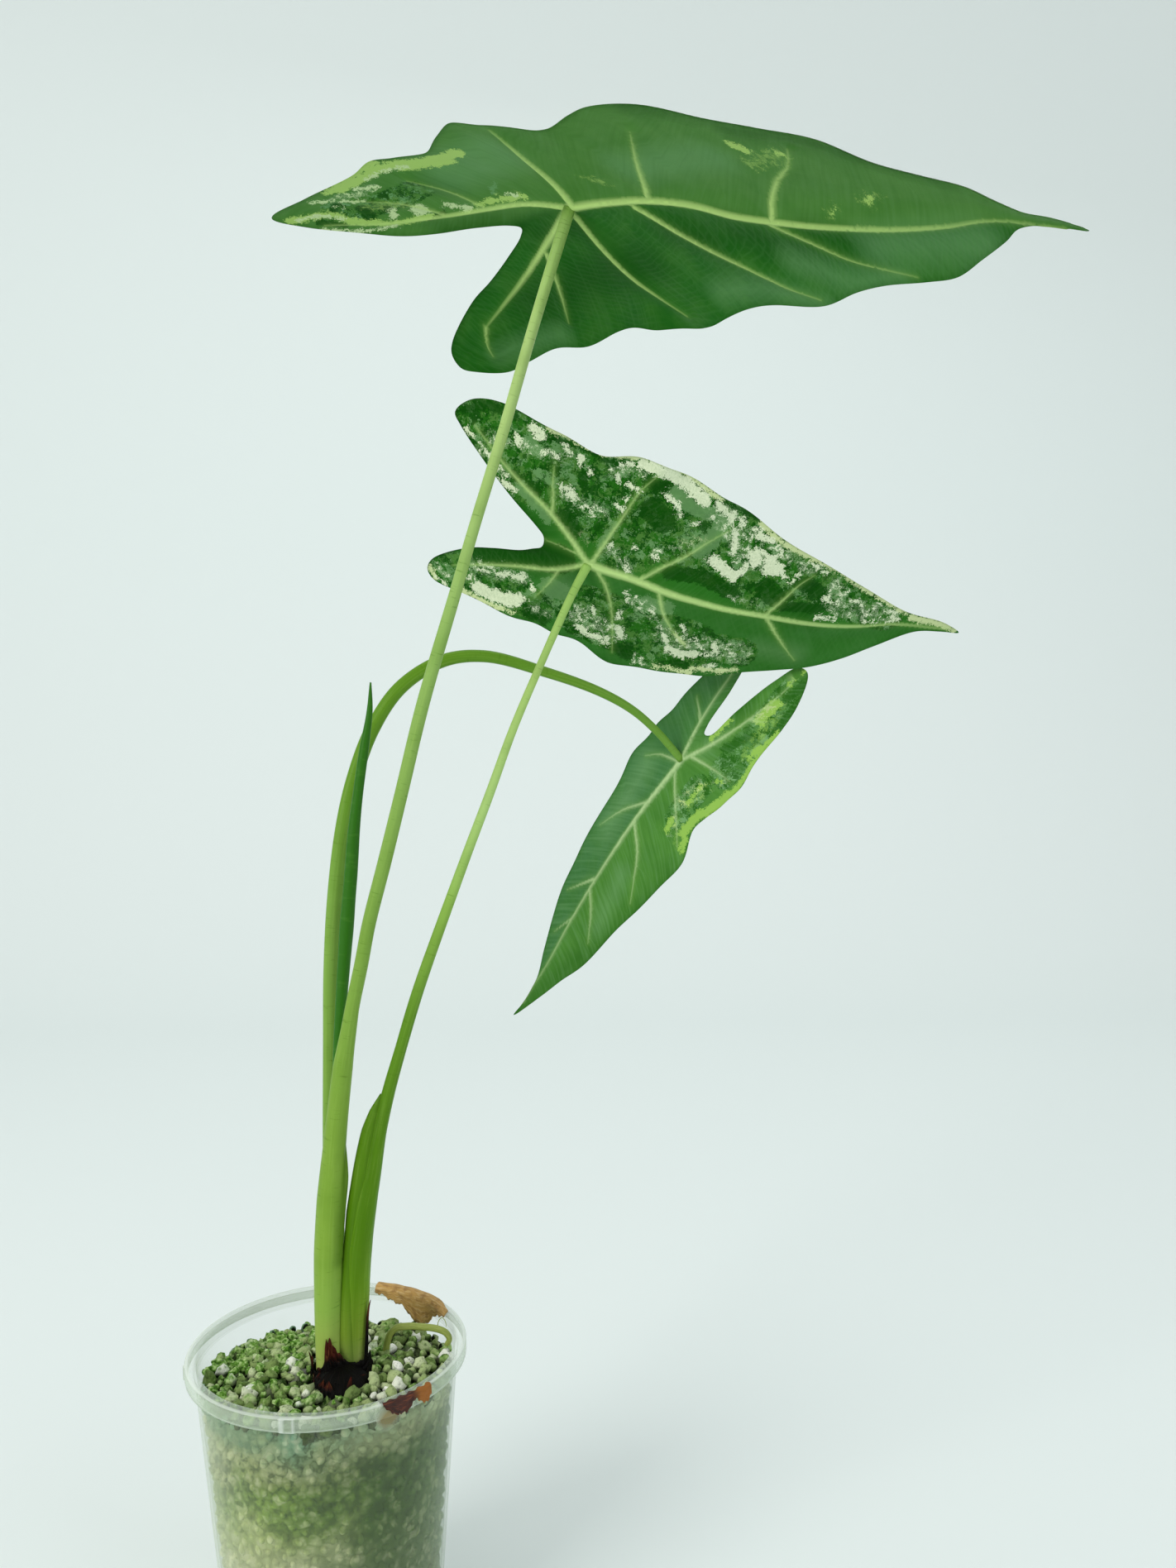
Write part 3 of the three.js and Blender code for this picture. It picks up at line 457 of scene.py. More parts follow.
# Distance in mm from each point to a line of points, and how far along the line it is nearest.
def distanceTo(points, line):
    best = np.full(len(points), 1e9)
    reach = np.zeros(len(points))
    start = 0.0
    line = np.array(line, float)
    for a, b in zip(line[:-1], line[1:]):
        span = np.linalg.norm(b - a)
        t = np.clip((points - a) @ (b - a) / span ** 2, 0, 1)
        d = np.linalg.norm(points - a - t[:, None] * (b - a), axis=1)
        nearer = d < best
        best = np.where(nearer, d, best)
        reach = np.where(nearer, start + t * span, reach)
        start += span
    return best, reach / start


# Points from a flat row of numbers.
def paired(row):
    return np.reshape(np.array(row, float), (-1, 2))


def strokes(points, marks, soft):
    field = np.zeros(len(points))
    for half, *row in marks:
        d, _ = distanceTo(points, smoothLine(paired(row)))
        field = np.maximum(field, np.clip(0.5 + (half - d) / (2 * soft), 0, 1))
    return field


def smoothLine(line, step=3.0):
    if len(line) < 3:
        return line
    length = sum(math.dist(a, b) for a, b in zip(line, line[1:]))
    flat = [(u, v, 0) for u, v in line]
    return smoothPath(flat, max(4, int(length / step)))[:, :2]


# how far each kind of marking fades at its edge, in mm
markSoftness = {
    "cream": 2.2, "lime": 2.0, "speck": 2.6, "limeSpeck": 2.6, "deep": 1.5, "grey": 1.8, "mosaic": 2.0,
    "paintedShade": 6.0, "sheen": 4.5,
}


# The rim as directions from the junction, in order, and the distance to it in each.
def outlineReach(rim):
    turn = np.arctan2(rim[:, 1], rim[:, 0])
    order = np.argsort(turn)
    return turn[order], np.hypot(*rim[order].T)


# Points of the blade: its rim, rows beside each vein, and an even field between them.
def bladePoints(leaf):
    fine = smoothPath([(u, v, 0) for u, v in paired(leaf["outline"])], 1200, closed=True)[:, :2]
    run = np.concatenate([[0], np.cumsum(np.linalg.norm(np.diff(fine, axis=0), axis=1))])
    count = int(run[-1] / bladeLook["rim"])
    at = np.linspace(0, run[-1], count, endpoint=False)
    rim = np.stack([np.interp(at, run, fine[:, i]) for i in (0, 1)], 1)
    rows = []
    for wide, narrow, *row in leaf["ribs"] + leaf["veins"]:
        path = smoothLine(paired(row), 1.1)
        tangent = np.gradient(path, axis=0)
        normal = np.stack([-tangent[:, 1], tangent[:, 0]], 1) / np.linalg.norm(tangent, axis=1)[:, None]
        width = np.linspace(wide, narrow, len(path))[:, None]
        for offset in (-1.8, -0.9, 0, 0.9, 1.8) if wide > 1 else (-1.2, 0, 1.2):
            rows.append(path + normal * np.maximum(width, 0.4) * offset)
    step = bladeLook["step"]
    low, high = rim.min(0), rim.max(0)
    us = np.arange(low[0], high[0], step)
    vs = np.arange(low[1], high[1], step * 0.87)
    grid = np.array([(u + (0.5 * step if k % 2 else 0), v) for k, v in enumerate(vs) for u in us])
    inner = np.vstack(rows + [grid])
    # inside the rim, and not crowded
    reach = np.interp(np.arctan2(inner[:, 1], inner[:, 0]), *outlineReach(rim), period=2 * np.pi)
    inner = inner[np.hypot(*inner.T) < reach - 0.1]
    kept, cells = [], {}
    for p in rim:
        cells.setdefault((int(p[0] // 1), int(p[1] // 1)), []).append(p)
    for p in inner:
        i, j = int(p[0] // 1), int(p[1] // 1)
        near = (q for a in (i - 1, i, i + 1) for b in (j - 1, j, j + 1) for q in cells.get((a, b), ()))
        if all((p[0] - q[0]) ** 2 + (p[1] - q[1]) ** 2 > 0.22 for q in near):
            cells.setdefault((i, j), []).append(p)
            kept.append(p)
    return rim, np.array(kept)


def bladeParts(leaf):
    rim, inner = bladePoints(leaf)
    everyPoint = np.vstack([rim, inner])
    flat = [Vector(p) for p in everyPoint]
    edges = [(i, (i + 1) % len(rim)) for i in range(len(rim))]
    found = delaunay_2d_cdt(flat, edges, [list(range(len(rim)))], 1, 1e-4)
    points = np.array([tuple(p) for p in found[0]])
    triangles = [tuple(t) for t in found[2]]
    a, b, c = (points[np.array(triangles)[:, i]] for i in range(3))
    turned = np.cross(b - a, c - a) < 0
    triangles = [(t[0], t[2], t[1]) if flip else t for t, flip in zip(triangles, turned)]
    onRim = sorted((i for i, source in enumerate(found[3]) if any(s < len(rim) for s in source)),
                   key=lambda i: min(s for s in found[3][i] if s < len(rim)))
    u, v = points.T
    edge, _ = distanceTo(points, np.vstack([rim, rim[:1]]))
    ridge, vein, nearest = np.zeros(len(u)), np.zeros(len(u)), np.full(len(u), 1e9)
    for wide, narrow, *row in leaf["ribs"] + leaf["veins"]:
        d, share = distanceTo(points, smoothLine(paired(row)))
        width = wide + (narrow - wide) * share
        ridge = np.maximum(ridge, width * 0.75 * np.exp(-(d / width) ** 2))
        # a thin vein is fainter, and each fades towards its end
        strength = 0.35 + 0.65 * min(1, wide / 1.3)
        vein = np.maximum(vein, strength * np.clip(1.7 - 1.15 * d / width, 0, 1) * (1 - 0.7 * share ** 2))
        nearest = np.minimum(nearest, d / (1 - 0.5 * share))
    # finer veins leave the nearest rib at a slant and run to the rim
    first, second, flow = np.full(len(u), 1e9), np.full(len(u), 1e9), np.zeros(len(u))
    for _, _, *row in leaf["ribs"]:
        line = paired(row)
        d, share = distanceTo(points, line)
        length = sum(math.dist(p, q) for p, q in zip(line, line[1:]))
        flow = np.where(d < first, share * length - 0.55 * d - 0.006 * d ** 2, flow)
        second = np.minimum(second, np.maximum(d, first))
        first = np.minimum(first, d)
    # cross veins bow from rib to rib, at a growing distance from the junction
    arc = np.hypot(u - 0.45 * np.clip(u, 0, 80), v)
    fineness = np.clip((second - first) / 4, 0, 1) * np.clip(nearest / 3, 0, 1)
    reach = np.hypot(u, v) / np.interp(np.arctan2(v, u), *outlineReach(rim), period=2 * np.pi)
    height, count, phase = leaf["wave"]
    ripple = height * reach ** 3 * np.sin(count * np.arctan2(v, u) + phase)
    quilt = bladeLook["quilt"] * (1 - np.exp(-(nearest / 6) ** 2)) * np.clip(edge / 8, 0, 1)
    curl = bladeLook["curl"] * np.clip(1 - edge / 2.6, 0, 1) ** 2
    arch = np.where(u > 0, leaf["archFront"], leaf["archBack"])
    middle = -arch * u * u / 100 + leaf["keel"] * (np.hypot(v, 6) - 6) + ripple + quilt - curl - 0.45
    half = bladeLook["lamina"] / 2 * np.clip(0.35 + edge / 1.5, 0, 1)
    upper = middle + half
    lower = middle - half - ridge
    place = np.array(leaf["origin"]) + (0, 0, cup["height"])
    axes = [np.array(leaf[key]) for key in ("along", "across", "face")]
    sheets = [place + np.outer(u, axes[0]) + np.outer(v, axes[1]) + np.outer(w, axes[2]) for w in (upper, lower)]
    n = len(u)
    faces = list(triangles) + [(x + n, z + n, y + n) for x, y, z in triangles]
    for i, k in zip(onRim, onRim[1:] + onRim[:1]):
        faces.append((i, i + n, k + n, k))
    midrib = np.interp(u, *paired(leaf["ribs"][0][2:]).T)
    # the band along the rim is painted darker in the tissue, as shade where the edge curls
    fields = {
        "vein": vein, "ribHalo": np.exp(-(nearest / 2.2) ** 2), "rimBand": np.exp(-(edge / 1.1) ** 2),
        "fine": fineness, "arc": arc, "side": np.clip(0.5 + (v - midrib) / 5, 0, 1),
    }
    for key, soft in markSoftness.items():
        fields[key] = strokes(points, leaf[key], soft)
    attributes = {key: np.concatenate([value, value]) for key, value in fields.items()}
    attributes["upper"] = np.concatenate([np.ones(n), np.zeros(n)])
    attributes["leafPlace"] = np.tile(np.stack([u, v, 0 * u], 1), (2, 1))
    attributes["flow"] = np.tile(np.stack([flow, first, 0 * u], 1), (2, 1))
    return np.vstack(sheets), faces, attributes


# Living leaf: a waxy satin skin over mottled tissue, pale along the veins. Where the tissue has no
# green it is cream, with ragged edges and fine specks. The upper side is deeper and more velvety.
def leafSkin(name, leaf):
    material, add = startMaterial(name)
    place, flow = (
        add("ShaderNodeAttribute", attribute_name=key).outputs["Vector"] for key in ("leafPlace", "flow"))
    names = ["vein", "ribHalo", "rimBand", "fine", "arc", "side", "upper", *markSoftness]
    mask = {key: add("ShaderNodeAttribute", attribute_name=key).outputs["Fac"] for key in names}

    # cell groups: 0.45 mm, and patches 2.8 and 1.2 mm wide whose edges step along the small ones
    small = add("ShaderNodeTexVoronoi", {"Vector": place, "Scale": 2.2}).outputs["Color"]
    smallOne, smallTwo, _ = add("ShaderNodeSeparateColor", {"Color": small}).outputs
    jag = add("ShaderNodeVectorMath", {0: small, 1: (0.5, 0.5, 0.5)}, operation="SUBTRACT")
    stepped = add("ShaderNodeVectorMath", {0: jag, 1: (0.9, 0.9, 0.9), 2: place}, operation="MULTIPLY_ADD")
    wander = add("ShaderNodeTexNoise", {"Vector": place, "Scale": 0.4, "Detail": 3.0}).outputs["Color"]
    wander = add("ShaderNodeVectorMath", {0: wander, 1: (0.5, 0.5, 0.5)}, operation="SUBTRACT")
    stepped = add("ShaderNodeVectorMath", {0: wander, 1: (5.0, 5.0, 5.0), 2: stepped}, operation="MULTIPLY_ADD")
    large = add("ShaderNodeTexVoronoi", {"Vector": stepped, "Scale": 0.32}).outputs["Color"]
    middle = add("ShaderNodeTexVoronoi", {"Vector": stepped, "Scale": 0.85}).outputs["Color"]
    largeOne, _, _ = add("ShaderNodeSeparateColor", {"Color": large}).outputs
    middleOne, middleTwo, _ = add("ShaderNodeSeparateColor", {"Color": middle}).outputs
    cloud = add("ShaderNodeTexNoise", {"Vector": place, "Scale": 0.07, "Detail": 3.0, "Roughness": 0.6})
    torn = add("ShaderNodeTexNoise", {"Vector": stepped, "Scale": 0.42, "Detail": 5.0, "Roughness": 0.72})
    grain = add("ShaderNodeTexNoise", {"Vector": place, "Scale": 1.7, "Detail": 4.0, "Roughness": 0.65})

    # a soft mask becomes a patch with a torn edge
    def ragged(source, strength, low, high):
        lifted = add("ShaderNodeMath", {0: torn, 1: strength, 2: source}, operation="MULTIPLY_ADD")
        lifted = add("ShaderNodeMath", {0: smallOne, 1: 0.2, 2: lifted}, operation="MULTIPLY_ADD")
        middleOfBoth = strength * 0.5 + 0.1
        return add("ShaderNodeMapRange", {
            "Value": lifted, "From Min": low + middleOfBoth, "From Max": high + middleOfBoth,
        }, interpolation_type="SMOOTHSTEP")

    mid, rich, deep, grey = leaf["shade"]
    soft = add("ShaderNodeMapRange", {"Value": cloud, "From Min": 0.4, "From Max": 0.62, "To Max": 0.45})
    tones = add("ShaderNodeValToRGB", {"Fac": largeOne}, stops=(
        (0.0, deep), (0.38, rich), (0.62, mid), (0.84, grey)))
    inner = add("ShaderNodeValToRGB", {"Fac": middleOne}, stops=(
        (0.0, deep), (0.3, rich), (0.55, mid), (0.84, grey)))
    for node in (tones, inner):
        node.color_ramp.interpolation = "CONSTANT"
    broken = ragged(mask["mosaic"], 0.5, 0.44, 0.56)
    innerShare = add("ShaderNodeMapRange", {"Value": middleTwo, "From Min": 0.45, "From Max": 0.5, "To Max": 0.75})
    specks = add("ShaderNodeMath", {0: mask["speck"], 1: 0.3, 2: torn}, operation="MULTIPLY_ADD")
    creamSpeck = add("ShaderNodeMapRange", {"Value": specks, "From Min": 0.86, "From Max": 0.875})
    paleSpeck = add("ShaderNodeMapRange", {"Value": specks, "From Min": 0.765, "From Max": 0.79, "To Max": 0.35})
    limeSpecks = add("ShaderNodeMath", {0: mask["limeSpeck"], 1: 0.3, 2: torn}, operation="MULTIPLY_ADD")
    limeSpeck = add("ShaderNodeMapRange", {"Value": limeSpecks, "From Min": 0.74, "From Max": 0.88, "To Max": 0.55})
    # fine veins run from the ribs to the rim as streaks, and cross veins 1.8 mm apart bow between them
    drawn = add("ShaderNodeMapping", {"Vector": flow, "Scale": (0.75, 0.05, 1.0)})
    streak = add("ShaderNodeTexNoise", {"Vector": drawn, "Scale": 1.0, "Detail": 3.0})
    bowed = add("ShaderNodeMath", {0: cloud, 1: 6.0, 2: mask["arc"]}, operation="MULTIPLY_ADD")
    bowed = add("ShaderNodeMath", {0: bowed, 1: 3.4}, operation="MULTIPLY")
    bow = add("ShaderNodeMath", {0: bowed}, operation="SINE")
    along, crossed, hollow = (
        add("ShaderNodeMapRange", {"Value": source, "From Min": low, "From Max": high, "To Max": amount})
        for source, low, high, amount in (
            (streak, 0.48, 0.66, leaf["streak"]), (bow, 0.3, 1.0, leaf["bow"]),
            (streak, 0.5, 0.34, leaf["streak"])))
    crossed = add("ShaderNodeMath", {0: crossed, 1: mask["side"]}, operation="MULTIPLY")
    fineVein = add("ShaderNodeMath", {0: along, 1: crossed}, operation="MAXIMUM")
    creamPatch = ragged(mask["cream"], 1.8, 0.52, 0.56)
    cream, lime = leaf["creamTone"], leaf["limeTone"]
    # smooth dark strokes and the band along the rim are painted shade, smooth pale strokes a painted sheen, and the
    # top leaf's darker lower half is painted shade
    veined = layerColours(add, leaf["sides"][0], [
        (mask["side"], leaf["sides"][1]), (soft, rich), (mask["paintedShade"], deep, 0.7), (mask["sheen"], grey, 0.5),
        (hollow, deep), (broken, tones, 0.9), (innerShare, inner, broken),
        (ragged(mask["deep"], 1.9, 0.5, 0.6), deep, 0.85), (ragged(mask["grey"], 1.9, 0.5, 0.6), grey, 0.75),
        (fineVein, grey, mask["fine"]), (paleSpeck, "#a4c092"), (mask["rimBand"], deep, 0.3), (limeSpeck, lime),
        (ragged(mask["lime"], 1.7, 0.44, 0.56), lime), (creamSpeck, cream), (creamPatch, cream),
        (smallTwo, "#a2b98a", creamPatch, 0.4), (mask["ribHalo"], "#7fab52", 0.2), (mask["vein"], leaf["veinTone"]),
    ])
    # seen from above the same tissue is darker and the veins stand out nearly white
    darker = add("ShaderNodeHueSaturation", {"Saturation": 1.05, "Value": 0.62, "Color": veined})
    above = layerColours(add, darker, [(mask["vein"], "#cfdcb6")])
    colour = layerColours(add, veined, [(mask["upper"], above)])
    rough = add("ShaderNodeMapRange", {"Value": grain, "To Min": 0.34, "To Max": 0.5})
    rough = add("ShaderNodeMath", {0: mask["upper"], 1: 0.2, 2: rough}, operation="MULTIPLY_ADD")
    lift = add("ShaderNodeMath", {0: bow, 1: mask["side"]}, operation="MULTIPLY")
    lift = add("ShaderNodeMath", {0: lift, 1: mask["fine"]}, operation="MULTIPLY")
    lift = add("ShaderNodeMath", {0: grain, 1: 0.5, 2: lift}, operation="MULTIPLY_ADD")
    bump = add("ShaderNodeBump", {"Height": lift, "Strength": 0.15 + leaf["bow"], "Distance": 0.00012})
    return coat(material, {
        "Base Color": colour, "Roughness": rough, "Specular IOR Level": bladeLook["gloss"], "Normal": bump,
    })


def makeBlades():
    leaves = ((1, topLeaf, "blade_top"), (2, middleLeaf, "blade_mosaic"), (3, lowLeaf, "blade_low"))
    for number, leaf, slot in leaves:
        vertices, faces, attributes = bladeParts(leaf)
        material = leafSkin(f"living leaf {number}, waxy satin", leaf)
        blade = showPiece(f"blade{number}", vertices, faces, material, attributes)
        finishPiece(blade, slot, f"leaf_{number}_blade")
        print("blade", number, len(blade.data.polygons), "faces")


makeBlades()

# Petioles and furled leaf.
stalks = {
    "sides": 28,
    # the turn and share at which the rolled blade's outer edge starts, how far it winds, and its width
    "edgeTurn": 3.9, "edgeWind": 1.2, "edgeFrom": 0.42, "edgeRise": 0.08, "edgeWidth": 0.02,
    # colours of the three petioles at their share of the way up
    "tints": {
        1: ((0, "#b4bd70"), (0.03, "#a3b85c"), (0.07, "#8bb04a"), (0.13, "#7fa43a"), (0.25, "#7ba03b"),
            (0.4, "#7aa043"), (0.66, "#8cb05c"), (0.88, "#adc97c"), (1, "#96ba62")),
        2: ((0, "#a9b474"), (0.06, "#86a238"), (0.12, "#689318"), (0.2, "#56860a"), (0.32, "#548014"),
            (0.45, "#5e8a24"), (0.58, "#8ab24e"), (0.7, "#a9cb78"), (0.86, "#a6c76f"), (1, "#94bd60")),
        3: ((0, "#8aa050"), (0.1, "#7ba341"), (0.3, "#779f3f"), (0.44, "#7da648"), (0.56, "#64922a"),
            (0.7, "#5d8b20"), (0.86, "#5f8e2a"), (1, "#6f9c3f")),
    },
}
petiole1 = [
    (1, -4.2, -12.5, 4.5), (1.3, -4.6, 10, 4.9), (2.2, -5.3, 36, 5.2), (3.8, -6.1, 56, 5.05), (5.5, -7.3, 73, 4.1),
    (7.5, -8.3, 88, 3.75), (9.9, -9.5, 104, 3.5), (11.2, -10.1, 111, 3.1), (12.8, -10.7, 119, 2.7),
    (14.3, -11.4, 126.5, 2.45), (18, -12.8, 141.5, 2.4), (21.3, -14.2, 156, 2.35), (27.7, -16.5, 178, 2.35),
    (34.2, -19, 201, 2.25), (42.6, -22.5, 231, 2.2), (54.4, -27.2, 266.5, 2), (61.3, -30.1, 287.5, 1.85),
    (71.9, -34.6, 318, 1.8), (81.8, -39.1, 348, 1.75), (94.2, -45, 383.4, 1.9),
]
sheath1 = [(4.6, -5.6, 34, 2.8), (5.9, -5.9, 50, 2.9), (8.2, -6, 64, 2.1), (9.3, -7, 79, 0.5)]
petiole2 = [
    (10, -1.2, -12.5, 4.2), (10.6, -1.9, 3, 4.3), (11.4, -2.6, 18, 4.4), (12.9, -3.5, 36, 4.5), (16, -4.6, 54, 3.9),
    (18.5, -5, 65, 3.2), (21.5, -5.5, 80, 2.6), (25.4, -6.1, 95, 2.3), (30, -6.4, 110, 2.05),
    (34.7, -6.5, 125, 2.05), (38.5, -6.5, 136, 2), (54.1, -5.7, 177, 1.7), (63, -4.9, 199.5, 1.6),
    (71.6, -3.7, 222, 1.45), (81.8, -2.3, 245, 1.35), (92.6, -0.8, 268, 1.4), (98.3, -0.3, 278.4, 1.65),
]
sheath2 = [
    (7.7, -4, -11, 3.3), (7.9, -4.2, 2, 3.5), (8.6, -4.2, 14, 3.7), (10.6, -4, 30, 4.1), (12.1, -4.1, 40, 4.35),
    (13.3, -4.3, 50, 4.5), (15.6, -4.8, 65, 4), (16.7, -5, 72, 3.6), (18.4, -5.3, 80, 3.2), (20.6, -5.6, 87, 2.4),
    (23, -5.9, 93.5, 0.8),
]
petiole3 = [
    (1, 7, -12.5, 3.3), (1.2, 7, 16, 3.3), (1.5, 7, 47, 3.3), (2, 7, 74, 3.2), (3, 7, 109, 3.1), (3.8, 7, 135, 3),
    (5.6, 7.6, 161, 2.9), (8.7, 10, 186, 2.85), (12.6, 13, 204, 2.75), (19.2, 16.6, 222, 2.65),
    (29.4, 20.3, 237, 2.55), (44.6, 24.1, 246.5, 2.4), (60, 27.4, 248, 2.25), (81.8, 32.8, 242, 1.95),
    (101.6, 37.7, 234.6, 1.75), (114.6, 41.3, 227.2, 1.6), (124.2, 44.5, 218.6, 1.5), (133.6, 47.8, 207.5, 1.5),
]
furled = [
    (5.4, 3.4, -12.5, 1.6), (5, 2.6, 20, 1.9), (4.7, 2.1, 50, 2.1), (5.4, 1, 80, 1.8), (6.4, 0, 104, 1.7),
    (8.5, 0, 127.7, 2.1), (10.1, 0, 143.8, 2.4), (11.3, 0, 155.6, 2.5), (12.9, 0, 170.4, 2.4),
    (14.5, 0, 187.1, 2.1), (16.7, 0, 202.6, 1.8), (19.1, 0, 217.1, 1.6), (21.1, 0, 228.7, 1.1),
    (21.7, 0, 238.8, 0.3),
]


# Living stalk: smooth, juicy and satin, with faint lengthwise fibres and a few short dark cross marks.
# The tints are given at their share of the way up. Where a wing leaves the stalk the crease is painted darker, as
# shade.
def stalkSkin(name, tints):
    material, add = startMaterial(name)
    flow = add("ShaderNodeAttribute", attribute_name="flow").outputs["Vector"]
    share, crease, wing = (add("ShaderNodeAttribute", attribute_name=key).outputs["Fac"]
                           for key in ("share", "crease", "wing"))
    drawn = add("ShaderNodeMapping", {"Vector": flow, "Scale": (1.6, 1.6, 0.035)})
    fibres = add("ShaderNodeTexNoise", {"Vector": drawn, "Scale": 1.0, "Detail": 3.0})
    drawn = add("ShaderNodeMapping", {"Vector": flow, "Scale": (0.2, 0.2, 1.5)})
    marks = add("ShaderNodeTexNoise", {"Vector": drawn, "Scale": 1.0, "Detail": 2.0})
    marks = add("ShaderNodeMapRange", {"Value": marks, "From Min": 0.63, "From Max": 0.74, "To Max": 0.4})
    broad = add("ShaderNodeTexNoise", {"Vector": flow, "Scale": 0.05, "Detail": 2.0})
    along = add("ShaderNodeValToRGB", {"Fac": share}, stops=tints)
    pale = add("ShaderNodeMapRange", {"Value": fibres, "From Min": 0.5, "From Max": 0.72, "To Max": 0.14})
    dull = add("ShaderNodeMapRange", {"Value": broad, "From Min": 0.5, "From Max": 0.7, "To Max": 0.35})
    # the wing of the sheath has painted shade low down between the stems, and a faint bloom higher up
    height = add("ShaderNodeSeparateXYZ", {"Vector": flow}).outputs["Z"]
    freed = add("ShaderNodeMapRange", {
        "Value": height, "From Min": 150.0, "From Max": 200.0, "To Min": -0.25, "To Max": 0.6,
    })
    wingBloomAndShade = add("ShaderNodeMath", {0: wing, 1: freed}, operation="MULTIPLY")
    bloom = add("ShaderNodeMath", {0: wingBloomAndShade, 1: 0.0}, operation="MAXIMUM")
    valleyShade = add("ShaderNodeMath", {0: wingBloomAndShade, 1: -1.0}, operation="MULTIPLY", use_clamp=True)
    # painted shade lies in the valley low on the wing and in the crease where wing and stalk meet
    colour = layerColours(add, along, [
        (dull, "#5d861c"), (pale, "#aac864"), (bloom, "#9fb98a"), (valleyShade, "#4c720c"), (crease, "#3b6404", 0.5),
        (marks, "#47700f"),
    ])
    rough = add("ShaderNodeMapRange", {"Value": fibres, "To Min": 0.3, "To Max": 0.46})
    bump = add("ShaderNodeBump", {"Height": fibres, "Strength": 0.3, "Distance": 0.0003})
    return coat(material, {"Base Color": colour, "Roughness": rough, "Specular IOR Level": 0.1, "Normal": bump})


# Rolled new blade: dark green underside with the paler line of the outer edge and faint cross ridges.
def furledSkin():
    material, add = startMaterial("young rolled leaf, satin")
    flow = add("ShaderNodeAttribute", attribute_name="flow").outputs["Vector"]
    seam = add("ShaderNodeAttribute", attribute_name="seam").outputs["Fac"]
    height = add("ShaderNodeSeparateXYZ", {"Vector": flow}).outputs["Z"]
    drawn = add("ShaderNodeMapping", {"Vector": flow, "Scale": (0.12, 0.12, 0.42), "Rotation": (0.5, 0.3, 0)})
    ridges = add("ShaderNodeTexNoise", {"Vector": drawn, "Scale": 1.0, "Detail": 3.0})
    pale = add("ShaderNodeMapRange", {"Value": ridges, "From Min": 0.58, "From Max": 0.72, "To Max": 0.3})
    stalk = add("ShaderNodeMapRange", {"Value": height, "From Min": 118.0, "From Max": 104.0})
    colour = layerColours(add, "#2c6a0c", [(pale, "#558a30"), (seam, "#8db558"), (stalk, "#79a83f")])
    bump = add("ShaderNodeBump", {"Height": ridges, "Strength": 0.5, "Distance": 0.0005})
    return coat(material, {"Base Color": colour, "Roughness": 0.42, "Specular IOR Level": 0.18, "Normal": bump})


# How near each point lies to the skin of another stalk, where both meet in a crease.
def nearSkin(vertices, line):
    path = smoothPath(raised(line), 160)
    offsets = np.asarray(vertices)[:, None, :] - path[None, :, :3]
    gap = np.min(np.linalg.norm(offsets, axis=2) - path[None, :, 3], axis=1)
    return np.exp(-(gap / 1.1) ** 2)


def makeStalks():
    def ribbed(turn, share):
        return 1 + 0.012 * np.sin(9 * turn + 2 * share) + 0.02 * np.sin(3 * turn + 5 * share)

    for number, line, wing in ((1, petiole1, sheath1), (2, petiole2, sheath2), (3, petiole3, None)):
        vertices, faces, attributes = sweep(raised(line), stalks["sides"], len(line) * 9, shape=ribbed)
        attributes["wing"] = np.zeros(len(vertices))
        attributes["crease"] = nearSkin(vertices, wing) if wing else np.zeros(len(vertices))
        parts = [(vertices, faces, attributes)]
        if wing:
            vertices, faces, attributes = sweep(raised(wing), 24, 40, 0.75)
            # a wing takes the tint of the stalk at its own height
            heights = np.array([s[2] for s in line], float) + cup["height"]
            shares = (heights - heights[0]) / (heights[-1] - heights[0]) * 0.98
            attributes["share"] = np.interp(vertices[:, 2], heights, shares)
            attributes["wing"] = np.full(len(vertices), 1.0)
            attributes["crease"] = nearSkin(vertices, line)
            parts.append((vertices, faces, attributes))
        vertices, faces, attributes = joinParts(parts)
        skin = stalkSkin(f"living petiole {number}, satin", stalks["tints"][number])
        piece = showPiece(f"petiole{number}", vertices, faces, skin, attributes)
        finishPiece(piece, "petiole", f"leaf_{number}_petiole")

    # the outer edge of the rolled blade lies over the rest and winds a little round it
    def rolled(turn, share):
        start = stalks["edgeTurn"] - stalks["edgeWind"] * share
        lap = ((turn - start) % (2 * np.pi)) / (2 * np.pi)
        strength = np.clip((share - stalks["edgeFrom"]) / stalks["edgeRise"], 0, 1)
        return 1 - 0.26 * strength * lap ** 6 + 0.03 * np.sin(40 * share) * strength

    vertices, faces, attributes = sweep(raised(furled), 48, 240, shape=rolled)
    turn, share = np.arctan2(attributes["flow"][:, 1], attributes["flow"][:, 0]), attributes["share"]
    lap = ((turn - stalks["edgeTurn"] + stalks["edgeWind"] * share) % (2 * np.pi)) / (2 * np.pi)
    shown = np.clip((share - stalks["edgeFrom"]) / stalks["edgeRise"], 0, 1)
    attributes["seam"] = 0.75 * np.exp(-(lap / stalks["edgeWidth"]) ** 2) * shown
    piece = showPiece("furledLeaf", vertices, faces, furledSkin(), attributes)
    finishPiece(piece, "furled_blade", "furled_leaf")


makeStalks()
print("stalks made")

# Gravel.
# Each pile of grains: how far apart they lie at least, the smallest and largest, and how far they sit off
# their sheet, in mm; then how rough they are, how much painted shade they take as they lie deeper, and the seed.
gravel = {
    "gravelTop": (3.7, 1.45, 3.3, 0.9, 2.3, 0.0, 4), "gravelUnder": (3.7, 1.45, 3.3, 0.9, 2.3, 0.6, 13),
    "gravelWall": (3.7, 1.3, 2.4, 0.2, 1.0, 0.0, 21),
    "sides": 96, "foot": 2.2, "bodyGap": 2.5, "bodyDepth": 2.2, "shadeDepth": 2.6, "grainGap": 3.1,
    "rimReach": 46, "topDrop": 0.4, "underDrop": 2.6, "wallFoot": 4.5, "bare": (6.6, -8.6, 10.8, 15.2),
}


